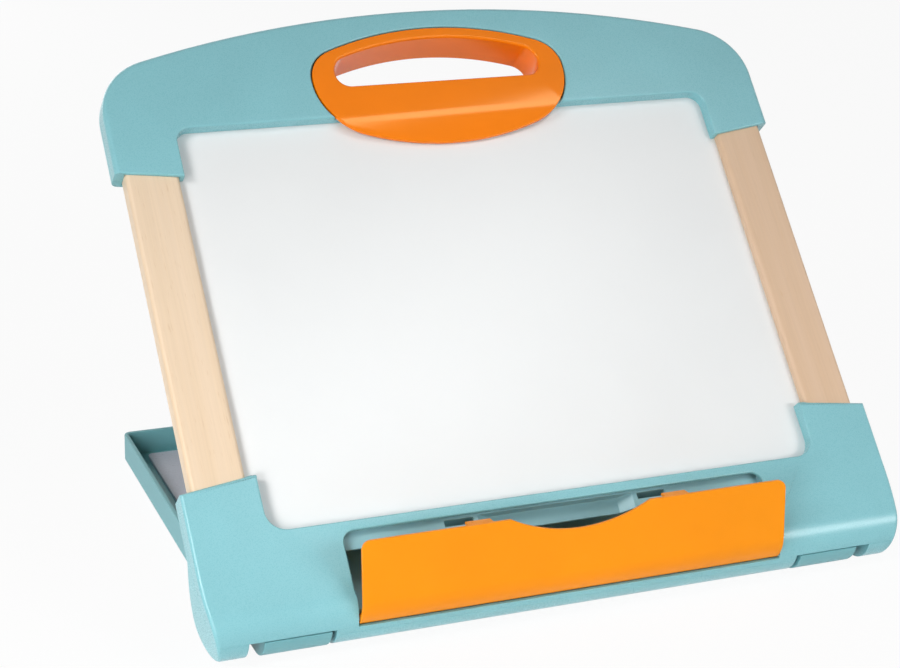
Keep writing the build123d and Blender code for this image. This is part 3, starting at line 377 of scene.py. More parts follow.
@dataclass(frozen=True)
class BirchRail(Finish):
    """Planed birch under thin lacquer: long pale fibres, faint growth bands and short flecks.

    The right rail is painted a little darker and deeper in tone. This is painted shade, where the
    light falls off towards the right of the easel.
    """

    # Painted shade: the right rail's colour is multiplied by this tint.
    right_rail_shade: str = "F1E7E2"
    band_colour: str = "E3C8A6"
    band_share: float = 0.75
    fleck_colour: str = "D2AE85"
    # The noise at which a fleck begins and is full, and how much it then covers the wood.
    fleck_reach: tuple[float, float] = (0.66, 0.78)
    fleck_share: float = 0.4
    # Width across the grain and length along it.
    fibre_mm: tuple[float, float] = (0.9, 60.0)
    band_mm: tuple[float, float] = (7.0, 260.0)
    fleck_mm: tuple[float, float] = (0.7, 9.0)
    waviness: float = 0.15
    fibre_tones: tuple[float, float] = (0.975, 1.02)
    fibre_depth_mm: float = 0.02
    gloss_change: float = 0.06
    # The painted shade on the right rail ramps in between these places across the easel, where no
    # wood is.
    shade_ramp_start: float = -100.0
    shade_ramp_end: float = 100.0

    def streaks(
        self, tree: Tree, place: Socket, size: tuple[float, float], layers: float
    ) -> Node:
        """Add a noise that is drawn out along the rails, which lean with the board.

        Args:
            tree: The material's node tree.
            place: The object's coordinates.
            size: Its patches' width across the grain and length along it, in millimetres.
            layers: How many finer layers it has.

        Returns:
            The noise.
        """
        turned = add_node(
            tree, "ShaderNodeMapping", {"Vector": place, "Rotation": (BOARD_TILT, 0.0, 0.0)}
        )
        across, along = 1 / (size[0] * MM), 1 / (size[1] * MM)
        drawn_out = add_node(
            tree, "ShaderNodeMapping", {"Vector": turned, "Scale": (across, across, along)}
        )
        return add_node(
            tree,
            "ShaderNodeTexNoise",
            {"Vector": drawn_out, "Scale": 1.0, "Detail": layers, "Distortion": self.waviness},
        )

    def surface(self, tree: Tree, place: Socket) -> Inputs:
        """Lay bands, the plank's tone, fibres and flecks over each other.

        Args:
            tree: The material's node tree.
            place: The object's coordinates.

        Returns:
            What the surface shader's inputs get.
        """
        fibre = self.streaks(tree, place, self.fibre_mm, 3.0)
        band = self.streaks(tree, place, self.band_mm, 2.0)
        fleck = self.streaks(tree, place, self.fleck_mm, 1.0)
        banded = add_node(
            tree,
            "ShaderNodeMix",
            {
                SHARE: add_node(tree, "ShaderNodeMapRange", spread(band, 0.0, self.band_share)),
                UNDER: linear(self.colour),
                OVER: linear(self.band_colour),
            },
            data_type="RGBA",
        )
        across = add_node(tree, "ShaderNodeSeparateXYZ", {"Vector": place}).outputs["X"]
        gap = span(across, self.shade_ramp_start * MM, self.shade_ramp_end * MM, 0.0, 1.0)
        # Painted shade: the right rail is multiplied darker and warmer, as the light falling off
        # towards the right would make it.
        right_rail_shaded = add_node(
            tree,
            "ShaderNodeMix",
            {
                SHARE: add_node(tree, "ShaderNodeMapRange", gap),
                UNDER: banded.outputs[MIXED],
                OVER: linear(self.right_rail_shade),
            },
            data_type="RGBA",
            blend_type="MULTIPLY",
        )
        cover = span(fleck, *self.fleck_reach, 0.0, self.fleck_share)
        flecked = add_node(
            tree,
            "ShaderNodeMix",
            {
                SHARE: add_node(tree, "ShaderNodeMapRange", cover),
                UNDER: self.toned(tree, right_rail_shaded.outputs[MIXED], fibre, self.fibre_tones),
                OVER: linear(self.fleck_colour),
            },
            data_type="RGBA",
        )
        glossier, duller = self.roughness - self.gloss_change, self.roughness + self.gloss_change
        return {
            "Base Color": flecked.outputs[MIXED],
            "Roughness": add_node(tree, "ShaderNodeMapRange", spread(fibre, glossier, duller)),
            "Normal": add_node(
                tree, "ShaderNodeBump", {"Height": fibre, "Distance": self.fibre_depth_mm * MM}
            ),
        }


@dataclass(frozen=True)
class Enamel(Finish):
    """Baked white enamel on the writing panel: smooth, softly glossy, with faint wiped marks."""

    smudge_mm: float = 38.0
    tones: tuple[float, float] = (0.99, 1.005)
    gloss_change: float = 0.04

    def surface(self, tree: Tree, place: Socket) -> Inputs:
        """Add the wiped marks.

        Args:
            tree: The material's node tree.
            place: The object's coordinates.

        Returns:
            What the surface shader's inputs get.
        """
        smudge = add_node(tree, "ShaderNodeTexNoise", patches(place, self.smudge_mm, 0.0))
        glossier, duller = self.roughness - self.gloss_change, self.roughness + self.gloss_change
        gloss = span(smudge, 0.0, 1.0, glossier, duller)
        return {
            "Base Color": self.toned(tree, linear(self.colour), smudge, self.tones),
            "Roughness": add_node(tree, "ShaderNodeMapRange", gloss),
        }


@dataclass(frozen=True)
class Hardboard(Finish):
    """Pressed fibreboard: matt, mottled with fibres and small darker specks."""

    fibre_mm: float = 1.4
    fibre_depth_mm: float = 0.05
    contrast: float = 0.1
    cloud_mm: float = 30.0
    cloud_tones: tuple[float, float] = (0.97, 1.03)
    speck_spacing_mm: float = 3.2
    # Where a speck's edge begins and ends, as a share of the spacing, and how dark it is.
    speck_edge: tuple[float, float] = (0.08, 0.16)
    speck_tone: float = 0.82

    def surface(self, tree: Tree, place: Socket) -> Inputs:
        """Lay fibres, clouds and specks over each other.

        Args:
            tree: The material's node tree.
            place: The object's coordinates.

        Returns:
            What the surface shader's inputs get.
        """
        fibre = add_node(tree, "ShaderNodeTexNoise", patches(place, self.fibre_mm, 3.0))
        cloud = add_node(tree, "ShaderNodeTexNoise", patches(place, self.cloud_mm, 2.0))
        speck = add_node(
            tree,
            "ShaderNodeTexVoronoi",
            {"Vector": place, "Scale": 1 / (self.speck_spacing_mm * MM)},
        )
        fibre_tones = (1 - self.contrast, 1 + self.contrast)
        mottled = self.toned(tree, linear(self.colour), fibre, fibre_tones)
        clouded = self.toned(tree, mottled, cloud, self.cloud_tones)
        specks = span(speck, *self.speck_edge, self.speck_tone, 1.0)
        dark = add_node(tree, "ShaderNodeMapRange", specks)
        return {
            "Base Color": add_node(
                tree, "ShaderNodeHueSaturation", {"Color": clouded, "Value": dark}
            ),
            "Normal": add_node(
                tree, "ShaderNodeBump", {"Height": fibre, "Distance": self.fibre_depth_mm * MM}
            ),
        }


@dataclass(frozen=True)
class PlatedSteel(Finish):
    """Bright steel, plain or zinc-plated: metal shine broken by fine drawn or plated clouding."""

    cloud_mm: float = 3.0
    tones: tuple[float, float] = (0.94, 1.06)
    # The marks of drawing are under 0.05 mm and are drawn at 0.35 mm, so that they show at all.
    scratch_mm: float = 0.35
    scratch_depth_mm: float = 0.008
    # How much glossier and how much duller the clouds get.
    gloss_change: tuple[float, float] = (-0.07, 0.1)

    def surface(self, tree: Tree, place: Socket) -> Inputs:
        """Add the clouding and the fine scratches.

        Args:
            tree: The material's node tree.
            place: The object's coordinates.

        Returns:
            What the surface shader's inputs get.
        """
        cloud = add_node(tree, "ShaderNodeTexNoise", patches(place, self.cloud_mm, 3.0))
        scratch = add_node(tree, "ShaderNodeTexNoise", patches(place, self.scratch_mm, 1.0))
        glossier, duller = (self.roughness + change for change in self.gloss_change)
        return {
            "Base Color": self.toned(tree, linear(self.colour), cloud, self.tones),
            "Roughness": add_node(tree, "ShaderNodeMapRange", spread(cloud, glossier, duller)),
            "Normal": add_node(
                tree,
                "ShaderNodeBump",
                {"Height": scratch, "Distance": self.scratch_depth_mm * MM},
            ),
        }


@dataclass(frozen=True)
class Rubber(Finish):
    """Moulded black rubber: dull, slightly uneven, with a dusting of grey."""

    # The skin's grain is about 0.2 mm and is drawn at 0.6 mm, so that it shows at all.
    grain_mm: float = 0.6
    grain_depth_mm: float = 0.05
    dust_mm: float = 5.0
    dust_colour: str = "55565A"
    dust_share: float = 0.35
    gloss_change: float = 0.08

    def surface(self, tree: Tree, place: Socket) -> Inputs:
        """Add the dust and the grain.

        Args:
            tree: The material's node tree.
            place: The object's coordinates.

        Returns:
            What the surface shader's inputs get.
        """
        grain = add_node(tree, "ShaderNodeTexNoise", patches(place, self.grain_mm, 3.0))
        dust = add_node(tree, "ShaderNodeTexNoise", patches(place, self.dust_mm, 3.0))
        dusted = add_node(
            tree,
            "ShaderNodeMix",
            {
                SHARE: add_node(tree, "ShaderNodeMapRange", spread(dust, 0.0, self.dust_share)),
                UNDER: linear(self.colour),
                OVER: linear(self.dust_colour),
            },
            data_type="RGBA",
        )
        glossier, duller = self.roughness - self.gloss_change, self.roughness + self.gloss_change
        return {
            "Base Color": dusted.outputs[MIXED],
            "Roughness": add_node(tree, "ShaderNodeMapRange", spread(grain, glossier, duller)),
            "Normal": add_node(
                tree, "ShaderNodeBump", {"Height": grain, "Distance": self.grain_depth_mm * MM}
            ),
        }


FINISHES: dict[Slot, Finish] = {
    # Moulded ABS: a soft highlight along each rounded edge and no sparkle.
    Slot.TEAL_CASING: MouldedPlastic("teal_moulded_abs", "84C1C9", 0.28),
    Slot.TEAL_TRAY: MouldedPlastic("deep_teal_moulded_abs", "73B0B7", 0.45),
    # The door's mould is matt: a flat warm orange with hardly any highlight.
    Slot.ORANGE_DOOR: MouldedPlastic(
        "orange_moulded_abs", "F9950E", 0.42, ior=1.32, shine="FFF0D0"
    ),
    # The clip's mould is polished: a clear band of light along its bend.
    Slot.ORANGE_CLIP: MouldedPlastic(
        "deep_orange_moulded_abs",
        "FF8302",
        0.12,
        ior=1.45,
        grain_depth_mm=0.0004,
        shine="FFE0A0",
    ),
    Slot.BIN: MouldedPlastic("blue_grey_moulded_abs", "8DBEC7", 0.4),
    # Lacquered birch: pale and even from afar, fine streaks near by.
    Slot.WOOD: BirchRail("lacquered_birch", "EBD3B7", 0.42),
    # Enamelled steel: clean white with broad soft reflections.
    Slot.WHITE_BOARD: Enamel("white_enamelled_steel", "ECEEEE", 0.34),
    # Hardboard: dull and fibrous, brown where bare and grey where painted.
    Slot.BACKING: Hardboard("brown_hardboard", "A98C6C", 0.75),
    Slot.GREY_BOARD: Hardboard("grey_painted_hardboard", "CDD2DE", 0.65, contrast=0.04),
    # Steel: bright and streaky where drawn, greyer and clouded where zinc-plated.
    Slot.STEEL: PlatedSteel("bright_drawn_steel", "C9C9CA", 0.27, metallic=1.0),
    Slot.ZINC: PlatedSteel("zinc_plated_steel", "B9BDC0", 0.36, metallic=1.0, cloud_mm=6.0),
    # Rubber: almost black, with no clear highlight.
    Slot.RUBBER: Rubber("black_rubber", "262628", 0.75),
}


@dataclass
class Workshop:
    """The loaded frame and the finishes, shared by the sub-assemblies."""

    frame: dict[str, Any]
    made: dict[Slot, Material] = field(default_factory=dict)
    # Vertices of a CAD node's loose triangles that lie this near are one.
    weld_mm: float = 0.004
    # Rounds past this radius are wide enough to show a third segment.
    wide_round_mm: float = 0.6
    # An edge is on the board's front face when both of its ends are this near to it.
    level_mm: float = 0.01

    def finish(self, slot: Slot) -> Material:
        """Give the material of a slot, made once.

        Args:
            slot: The slot.

        Returns:
            Its material.
        """
        if slot not in self.made:
            self.made[slot] = FINISHES[slot].build()
        return self.made[slot]

    def slot_of(self, node: str) -> Slot:
        """Give the record's slot of a CAD node."""
        rows = {row["node"]: row["material_slot"] for row in self.frame["record"]["subparts"]}
        return Slot(rows[node])

    def add(self, name: str, shape: Shape, body: Body, slot: Slot, *nodes: str) -> Piece:
        """Make a finished piece of a shape that stands in the frame already.

        Args:
            name: The piece's name.
            shape: Its shape, which is freed.
            body: The body that it rides on.
            slot: The slot whose finish it has.
            *nodes: The CAD nodes that it stands for.

        Returns:
            The piece.
        """
        for edge in shape.edges:
            edge.smooth = len(edge.link_faces) == 2 and edge.calc_face_angle(0.0) < SMOOTH_BELOW
        for face in shape.faces:
            face.smooth = True
        mesh = bpy.data.meshes.new(name)
        shape.to_mesh(mesh)
        shape.free()
        mesh.materials.append(self.finish(slot))
        piece = bpy.data.objects.new(name, mesh)
        bpy.context.scene.collection.objects.link(piece)
        weighted = piece.modifiers.new("flat_faces_stay_flat", "WEIGHTED_NORMAL")
        weighted.keep_sharp = True
        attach(piece, body.value)
        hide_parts(*nodes)
        LOG.info("%s: %d faces for %s", name, len(mesh.polygons), ", ".join(nodes))
        return piece

    def hard_edges(self, shape: Shape) -> Ring:
        """Give the edges at which two faces of a shape meet sharply.

        Args:
            shape: The shape.

        Returns:
            Its hard edges.
        """
        return [
            edge
            for edge in shape.edges
            if len(edge.link_faces) == 2 and edge.calc_face_angle(0.0) > HARD_ABOVE
        ]

    def round_edges(self, shape: Shape, edges: Ring, radius_mm: float) -> None:
        """Round some edges of a shape.

        Args:
            shape: The shape.
            edges: Its edges to round.
            radius_mm: The radius in millimetres.
        """
        bmesh.ops.bevel(
            shape,
            geom=edges,
            affect="EDGES",
            offset=radius_mm * MM,
            offset_type="OFFSET",
            segments=3 if radius_mm > self.wide_round_mm else 2,
            profile=0.5,
            material=-1,
            clamp_overlap=False,
            miter_outer="ARC",
        )

    def soften(
        self, node: str, name: str, body: Body, edge_mm: float, face_edge_mm: float = 0.0
    ) -> Piece:
        """Copy a CAD node with its hard edges rounded as a mould or a sander leaves them.

        Args:
            node: The CAD node.
            name: The new piece's name.
            body: The body that it rides on.
            edge_mm: The edges' radius in millimetres.
            face_edge_mm: The radius of the edges on the board's front face, or 0 for the same.

        Returns:
            The piece.
        """
        shape = bmesh.new()
        shape.from_mesh(self.frame["nodes"][node].data)
        bmesh.ops.remove_doubles(shape, verts=shape.verts, dist=self.weld_mm * MM)
        before = sum(face.calc_area() for face in shape.faces)
        if face_edge_mm:
            out = (board_point(0.0, 0.0, 1.0) - board_point(0.0, 0.0, 0.0)).normalized()
            level = board_point(0.0, 0.0, FRONT_FACE).dot(out)
            on_face = [
                edge
                for edge in self.hard_edges(shape)
                if all(abs(v.co.dot(out) - level) < self.level_mm * MM for v in edge.verts)
            ]
            self.round_edges(shape, on_face, face_edge_mm)
        self.round_edges(shape, self.hard_edges(shape), edge_mm)
        after = sum(face.calc_area() for face in shape.faces)
        LOG.info("%s: area %.2f %% of the CAD node's", name, 100 * after / before)
        return self.add(name, shape, body, self.slot_of(node), node)


@dataclass
class ScrewSet:
    """Pan-head screws with a cross recess, in one mesh per set."""

    workshop: Workshop
    head_radius: float = 3.0
    head_height: float = 1.6
    shank_radius: float = 1.5
    recess_arm: float = 1.45
    recess_half_width: float = 0.42
    recess_depth: float = 0.8
    crown_inset: float = 0.7
    crown_sides: int = 24
    # How far in from the rim and down from the crown the two steps of the head's dome lie.
    dome: tuple[tuple[float, float], ...] = ((0.2, 0.35), (0.0, 0.9))
    point_length: float = 1.5
    point_radius: float = 0.25
    # The recess of the first screw is turned this many degrees, and each next one further.
    first_turn: float = 17.0
    next_turn: float = 47.0

    @classmethod
    def small(cls, workshop: Workshop) -> "ScrewSet":
        """Give a set of the smaller screws that hold the racks and the brackets.

        Args:
            workshop: The shared workshop.

        Returns:
            The set.
        """
        return cls(
            workshop,
            head_radius=2.4,
            head_height=1.2,
            shank_radius=1.2,
            recess_arm=1.2,
            recess_half_width=0.34,
            recess_depth=0.6,
        )

    def one(self, shape: Shape, place: Matrix, shank: float) -> None:
        """Model one screw, its head standing towards +Z from the place given.

        Args:
            shape: The mesh it goes in.
            place: The matrix of the head's seat.
            shank: The shank's length in millimetres.
        """
        screw = bmesh.new()
        core = bmesh.ops.create_grid(
            screw, x_segments=1, y_segments=1, size=self.recess_half_width * MM
        )
        level = self.head_height - self.recess_depth
        bmesh.ops.translate(screw, verts=core["verts"], vec=(0, 0, level * MM))
        reach = (self.recess_arm - self.recess_half_width) * MM
        for edge in list(screw.edges):
            middle = (edge.verts[0].co + edge.verts[1].co) / 2
            way = Vector((middle.x, middle.y, 0)).normalized()
            tips, _ = extrude_ring(screw, [edge])
            bmesh.ops.translate(screw, verts=tips, vec=way * reach)
        walls, mouth = extrude_ring(screw, [edge for edge in screw.edges if edge.is_boundary])
        bmesh.ops.translate(screw, verts=walls, vec=(0, 0, self.recess_depth * MM))
        crown = bmesh.ops.create_circle(
            screw,
            segments=self.crown_sides,
            radius=(self.head_radius - self.crown_inset) * MM,
            matrix=Matrix.Translation((0, 0, self.head_height * MM)),
        )
        ring = list({e for v in crown["verts"] for e in v.link_edges})
        bmesh.ops.bridge_loops(screw, edges=mouth + ring)
        profile = [(self.head_radius - inset, self.head_height - drop) for inset, drop in self.dome]
        profile += [(self.head_radius, 0.0), (self.shank_radius, 0.0)]
        profile += [(self.shank_radius, self.point_length - shank), (self.point_radius, -shank)]
        for radius, height in profile:
            verts, ring = extrude_ring(screw, ring)
            for vert in verts:
                flat = Vector((vert.co.x, vert.co.y, 0)).normalized() * radius * MM
                vert.co = Vector((flat.x, flat.y, height * MM))
        bmesh.ops.contextual_create(screw, geom=ring)
        bmesh.ops.recalc_face_normals(screw, faces=screw.faces)
        bmesh.ops.transform(screw, matrix=place, verts=screw.verts)
        pour(screw, shape)

    def build(
        self, name: str, node: str, body: Body, places: list[tuple[Matrix, float]]
    ) -> Piece:
        """Build a set of screws.

        Args:
            name: The piece's name.
            node: The CAD node it stands for.
            body: The body that it rides on.
            places: The seat of each head and the length of its shank in millimetres.

        Returns:
            The piece.
        """
        shape = bmesh.new()
        for index, (place, shank) in enumerate(places):
            turn = math.radians(self.first_turn + self.next_turn * index)
            self.one(shape, place @ Matrix.Rotation(turn, 4, "Z"), shank)
        return self.workshop.add(name, shape, body, Slot.STEEL, node)


@dataclass
class BaseTray:
    """The shallow tray that the board folds down on, with its pads, lining and racks."""

    workshop: Workshop
    pad_radius: float = 7.0
    pad_thickness: float = 0.8
    pad_spots: tuple[tuple[float, float], ...] = ((150.0, 32.0), (150.0, 232.0))
    pad_sides: int = 40
    # The rolled rim: how far in it starts, and how far out and up each of its steps goes.
    pad_roll: float = 0.5
    roll_steps: tuple[tuple[float, float], ...] = ((0.35, 0.15), (0.15, 0.35))
    # The dish inside the rim: the rim's width, the dish's depth, its slope and its floor's rise.
    rim_width: float = 1.6
    dish_depth: float = 0.15
    dish_slope: float = 0.5
    dish_drop: float = 0.1
    rack_x: float = 70.0
    rack_top: float = 5.9
    rack_screw_tip: float = 0.6
    rack_screw_y: tuple[float, float] = (150.0, 242.0)

    def pad(self, shape: Shape, x: float, y: float) -> None:
        """Model one round rubber pad with a rolled rim and a shallow dish.

        Args:
            shape: The mesh it goes in.
            x: Its middle across the tray.
            y: Its middle behind the hinge axis.
        """
        middle = Vector((x * MM, (y + HINGE_Y) * MM, 0))
        made = bmesh.ops.create_circle(
            shape,
            cap_ends=True,
            segments=self.pad_sides,
            radius=(self.pad_radius - self.pad_roll) * MM,
            matrix=Matrix.Translation(middle),
        )
        face = made["verts"][0].link_faces[0]
        bmesh.ops.inset_region(shape, faces=[face], thickness=self.rim_width * MM)
        bmesh.ops.translate(shape, verts=list(face.verts), vec=(0, 0, self.dish_depth * MM))
        bmesh.ops.inset_region(shape, faces=[face], thickness=self.dish_slope * MM)
        bmesh.ops.translate(shape, verts=list(face.verts), vec=(0, 0, -self.dish_drop * MM))
        rim = [e for e in shape.edges if e.is_boundary and e.verts[0] in made["verts"]]
        wall = (0.0, self.pad_thickness - self.pad_roll)
        for grow, rise in (*self.roll_steps, wall):
            verts, rim = extrude_ring(shape, rim)
            for vert in verts:
                out = Vector((vert.co.x - middle.x, vert.co.y - middle.y, 0)).normalized()
                vert.co += out * grow * MM + Vector((0, 0, rise * MM))
        bmesh.ops.contextual_create(shape, geom=rim)

    def build(self) -> None:
        """Build the tray's pieces."""
        soften = self.workshop.soften
        soften("base_tray", "tray_moulding", Body.TRAY, edge_mm=0.5)
        soften("tray_floor_panel", "tray_lining", Body.TRAY, edge_mm=0.3)
        soften("prop_racks", "toothed_racks", Body.TRAY, edge_mm=0.25)
        shape = bmesh.new()
        for sign in (-1, 1):
            for x, y in self.pad_spots:
                self.pad(shape, sign * x, y)
        bmesh.ops.recalc_face_normals(shape, faces=shape.faces)
        self.workshop.add("rubber_pads", shape, Body.TRAY, Slot.RUBBER, "base_pads")
        spots = [(sign * self.rack_x, y + HINGE_Y) for sign in (-1, 1) for y in self.rack_screw_y]
        places = [
            (
                Matrix.Translation((x * MM, y * MM, self.rack_top * MM)),
                self.rack_top - self.rack_screw_tip,
            )
            for x, y in spots
        ]
        small = ScrewSet.small(self.workshop)
        small.build("rack_screws_cross", "rack_screws", Body.TRAY, places)


@dataclass
class BottomCasing:
    """The two shells that hold the board at its foot, with the marker bin and its door."""

    workshop: Workshop

    def build(self) -> None:
        """Build the casing's pieces."""
        soften = self.workshop.soften
        soften(
            "bottom_casing_front", "casing_front_shell", Body.BOARD, edge_mm=0.3, face_edge_mm=1.0
        )
        soften("bottom_casing_back", "casing_back_shell", Body.BOARD, edge_mm=0.35)
        soften("marker_bin", "marker_bin_box", Body.BOARD, edge_mm=0.3)
        soften("door_panel", "marker_door", Body.DOOR, edge_mm=0.35)
        soften("hinge_pins", "main_hinge_pins", Body.BOARD, edge_mm=0.4)
        soften("door_hinge_rod", "door_rod", Body.DOOR, edge_mm=0.2)


@dataclass
class Board:
    """The wooden rails with the writing panel and its backing between them."""

    workshop: Workshop

    def build(self) -> None:
        """Build the rails and panels."""
        soften = self.workshop.soften
        soften("left_rail", "birch_rail_left", Body.BOARD, edge_mm=0.4)
        soften("right_rail", "birch_rail_right", Body.BOARD, edge_mm=0.4)
        soften("writing_panel", "enamelled_panel", Body.BOARD, edge_mm=0.2)
        soften("backing_panel", "hardboard_backing", Body.BOARD, edge_mm=0.3)


@dataclass
class TopCap:
    """The two shells of the cap at the head of the board."""

    workshop: Workshop

    def build(self) -> None:
        """Build the cap's shells."""
        soften = self.workshop.soften
        soften("top_cap_front", "cap_front_shell", Body.BOARD, edge_mm=0.3, face_edge_mm=1.0)
        soften("top_cap_back", "cap_back_shell", Body.BOARD, edge_mm=0.35)


@dataclass
class ClipHandle:
    """The orange handle that clips paper down, its pin and its two torsion springs."""

    workshop: Workshop
    # The axle's place on the board: up it from the hinge axis, and out of it.
    pivot: tuple[float, float] = (284.0, 9.0)
    coil_radius: float = 2.6
    coil_length: float = 8.8
    wire_radius: float = 0.6
    wire_sides: int = 10
    turns: int = 7
    steps_per_turn: int = 18
    leg_up: float = 6.7
    leg_down: float = 3.3
    spring_x: tuple[float, float] = (-40.0, 40.0)

    def spring(self, shape: Shape, centre_x: float) -> None:
        """Wind one spring: a leg, the coil round the pin, and the other leg.

        Args:
            shape: The mesh it goes in.
            centre_x: The middle of the coil in millimetres.
        """
        coil = bmesh.new()
        start = Vector((-self.coil_length / 2, -self.coil_radius, self.leg_up)) * MM
        tip = bmesh.ops.create_circle(
            coil,
            segments=self.wire_sides,
            radius=self.wire_radius * MM,
            matrix=Matrix.Translation(start),
        )
        first = list({e for v in tip["verts"] for e in v.link_edges})
        verts, ring = extrude_ring(coil, first)
        bmesh.ops.translate(coil, verts=verts, vec=(0, 0, -self.leg_up * MM))
        steps = self.turns * self.steps_per_turn
        wound = bmesh.ops.spin(
            coil,
            geom=ring,
            cent=(0, 0, 0),
            axis=(1, 0, 0),
            dvec=(self.coil_length / steps * MM, 0, 0),
            angle=2 * math.pi * self.turns,
            steps=steps,
            use_merge=False,
            use_duplicate=False,
        )
        ring = [e for e in wound["geom_last"] if isinstance(e, Edge)]
        verts, last = extrude_ring(coil, ring)
        bmesh.ops.translate(coil, verts=verts, vec=(0, 0, -self.leg_down * MM))
        bmesh.ops.contextual_create(coil, geom=last)
        bmesh.ops.contextual_create(coil, geom=first)
        bmesh.ops.recalc_face_normals(coil, faces=coil.faces)
        place = board_matrix(centre_x, *self.pivot)
        bmesh.ops.transform(coil, matrix=place, verts=coil.verts)
        pour(coil, shape)

    def build(self) -> None:
        """Build the handle, pin and springs."""
        self.workshop.soften("clip_handle", "clip_moulding", Body.CLIP, edge_mm=0.35)
        self.workshop.soften("clip_pin", "clip_axle", Body.BOARD, edge_mm=0.3)
        shape = bmesh.new()
        for centre_x in self.spring_x:
            self.spring(shape, centre_x)
        self.workshop.add("wound_springs", shape, Body.CLIP, Slot.STEEL, "clip_springs")


@dataclass
class Prop:
    """The folding prop behind the board: brackets, pins, frame, foot rod and rubber sleeves."""

    workshop: Workshop
    # The prop's axis on the board: up it from the hinge axis, and out of it.
    pivot: tuple[float, float] = (110.0, 0.8)
    lean: float = math.radians(45.0)
    length: float = 120.4167
    bar_x: float = 70.0
    bar_width: float = 8.0
    sleeve_radius: float = 3.5
    sleeve_bore: float = 2.0
    sleeve_length: float = 7.0
    sleeve_sides: int = 28
    # How far along the sleeve and how far in the points of its rounded end lie.
    sleeve_end: tuple[tuple[float, float], ...] = ((0.0, 0.5), (0.35, 0.12), (0.8, 0.0))
    grooves: tuple[float, ...] = (2.0, 3.5, 5.0)
    groove_depth: float = 0.3
    # Half a groove's width at its mouth and at its floor.
    groove_half: tuple[float, float] = (0.35, 0.15)
    weld_mm: float = 0.001

    def foot(self) -> Vector:
        """Give the middle of the foot rod in metres."""
        down = Vector((0, math.sin(self.lean), -math.cos(self.lean)))
        return board_point(0.0, *self.pivot) + down * self.length * MM

    def sleeve_profile(self) -> list[tuple[float, float]]:
        """Give the outline that one sleeve is turned from.

        Returns:
            Places along the rod and out from it, in millimetres.
        """
        outer, bore, length = self.sleeve_radius, self.sleeve_bore, self.sleeve_length
        mouth, floor = self.groove_half
        profile = [(0.0, bore)]
        profile += [(along, outer - inward) for along, inward in self.sleeve_end]
        for groove in self.grooves:
            deep = outer - self.groove_depth
            profile += [(groove - mouth, outer), (groove - floor, deep)]
            profile += [(groove + floor, deep), (groove + mouth, outer)]
        profile += [(length - along, outer - inward) for along, inward in self.sleeve_end[::-1]]
        return profile + [(length, bore)]

    def sleeves(self) -> None:
        """Turn the ribbed rubber sleeves about the foot rod, one each side of each bar."""
        shape = bmesh.new()
        foot = self.foot()
        half_bar = self.bar_width / 2
        sides = (-self.bar_x, self.bar_x)
        for start in [s + gap for s in sides for gap in (-half_bar - self.sleeve_length, half_bar)]:
            turned = bmesh.new()
            verts = [
                turned.verts.new(foot + Vector((start + x, 0, radius)) * MM)
                for x, radius in self.sleeve_profile()
            ]
            edges = [turned.edges.new(pair) for pair in zip(verts, verts[1:] + verts[:1])]
            bmesh.ops.spin(
                turned,
                geom=verts + edges,
                cent=foot,
                axis=(1, 0, 0),
                dvec=(0, 0, 0),
                angle=2 * math.pi,
                steps=self.sleeve_sides,
                use_merge=True,
                use_duplicate=False,
            )
            bmesh.ops.remove_doubles(turned, verts=turned.verts, dist=self.weld_mm * MM)
            bmesh.ops.recalc_face_normals(turned, faces=turned.faces)
            pour(turned, shape)
        self.workshop.add("ribbed_sleeves", shape, Body.PROP, Slot.RUBBER, "prop_foot_sleeves")

    def build(self) -> None:
        """Build the prop's pieces."""
        soften = self.workshop.soften
        soften("prop_brackets", "hinge_brackets", Body.BOARD, edge_mm=0.3)
        soften("prop_pins", "bracket_pins", Body.BOARD, edge_mm=0.25)
        soften("prop_frame", "prop_bars", Body.PROP, edge_mm=0.4)
        soften("prop_foot_rod", "foot_rod", Body.PROP, edge_mm=0.4)
        self.sleeves()


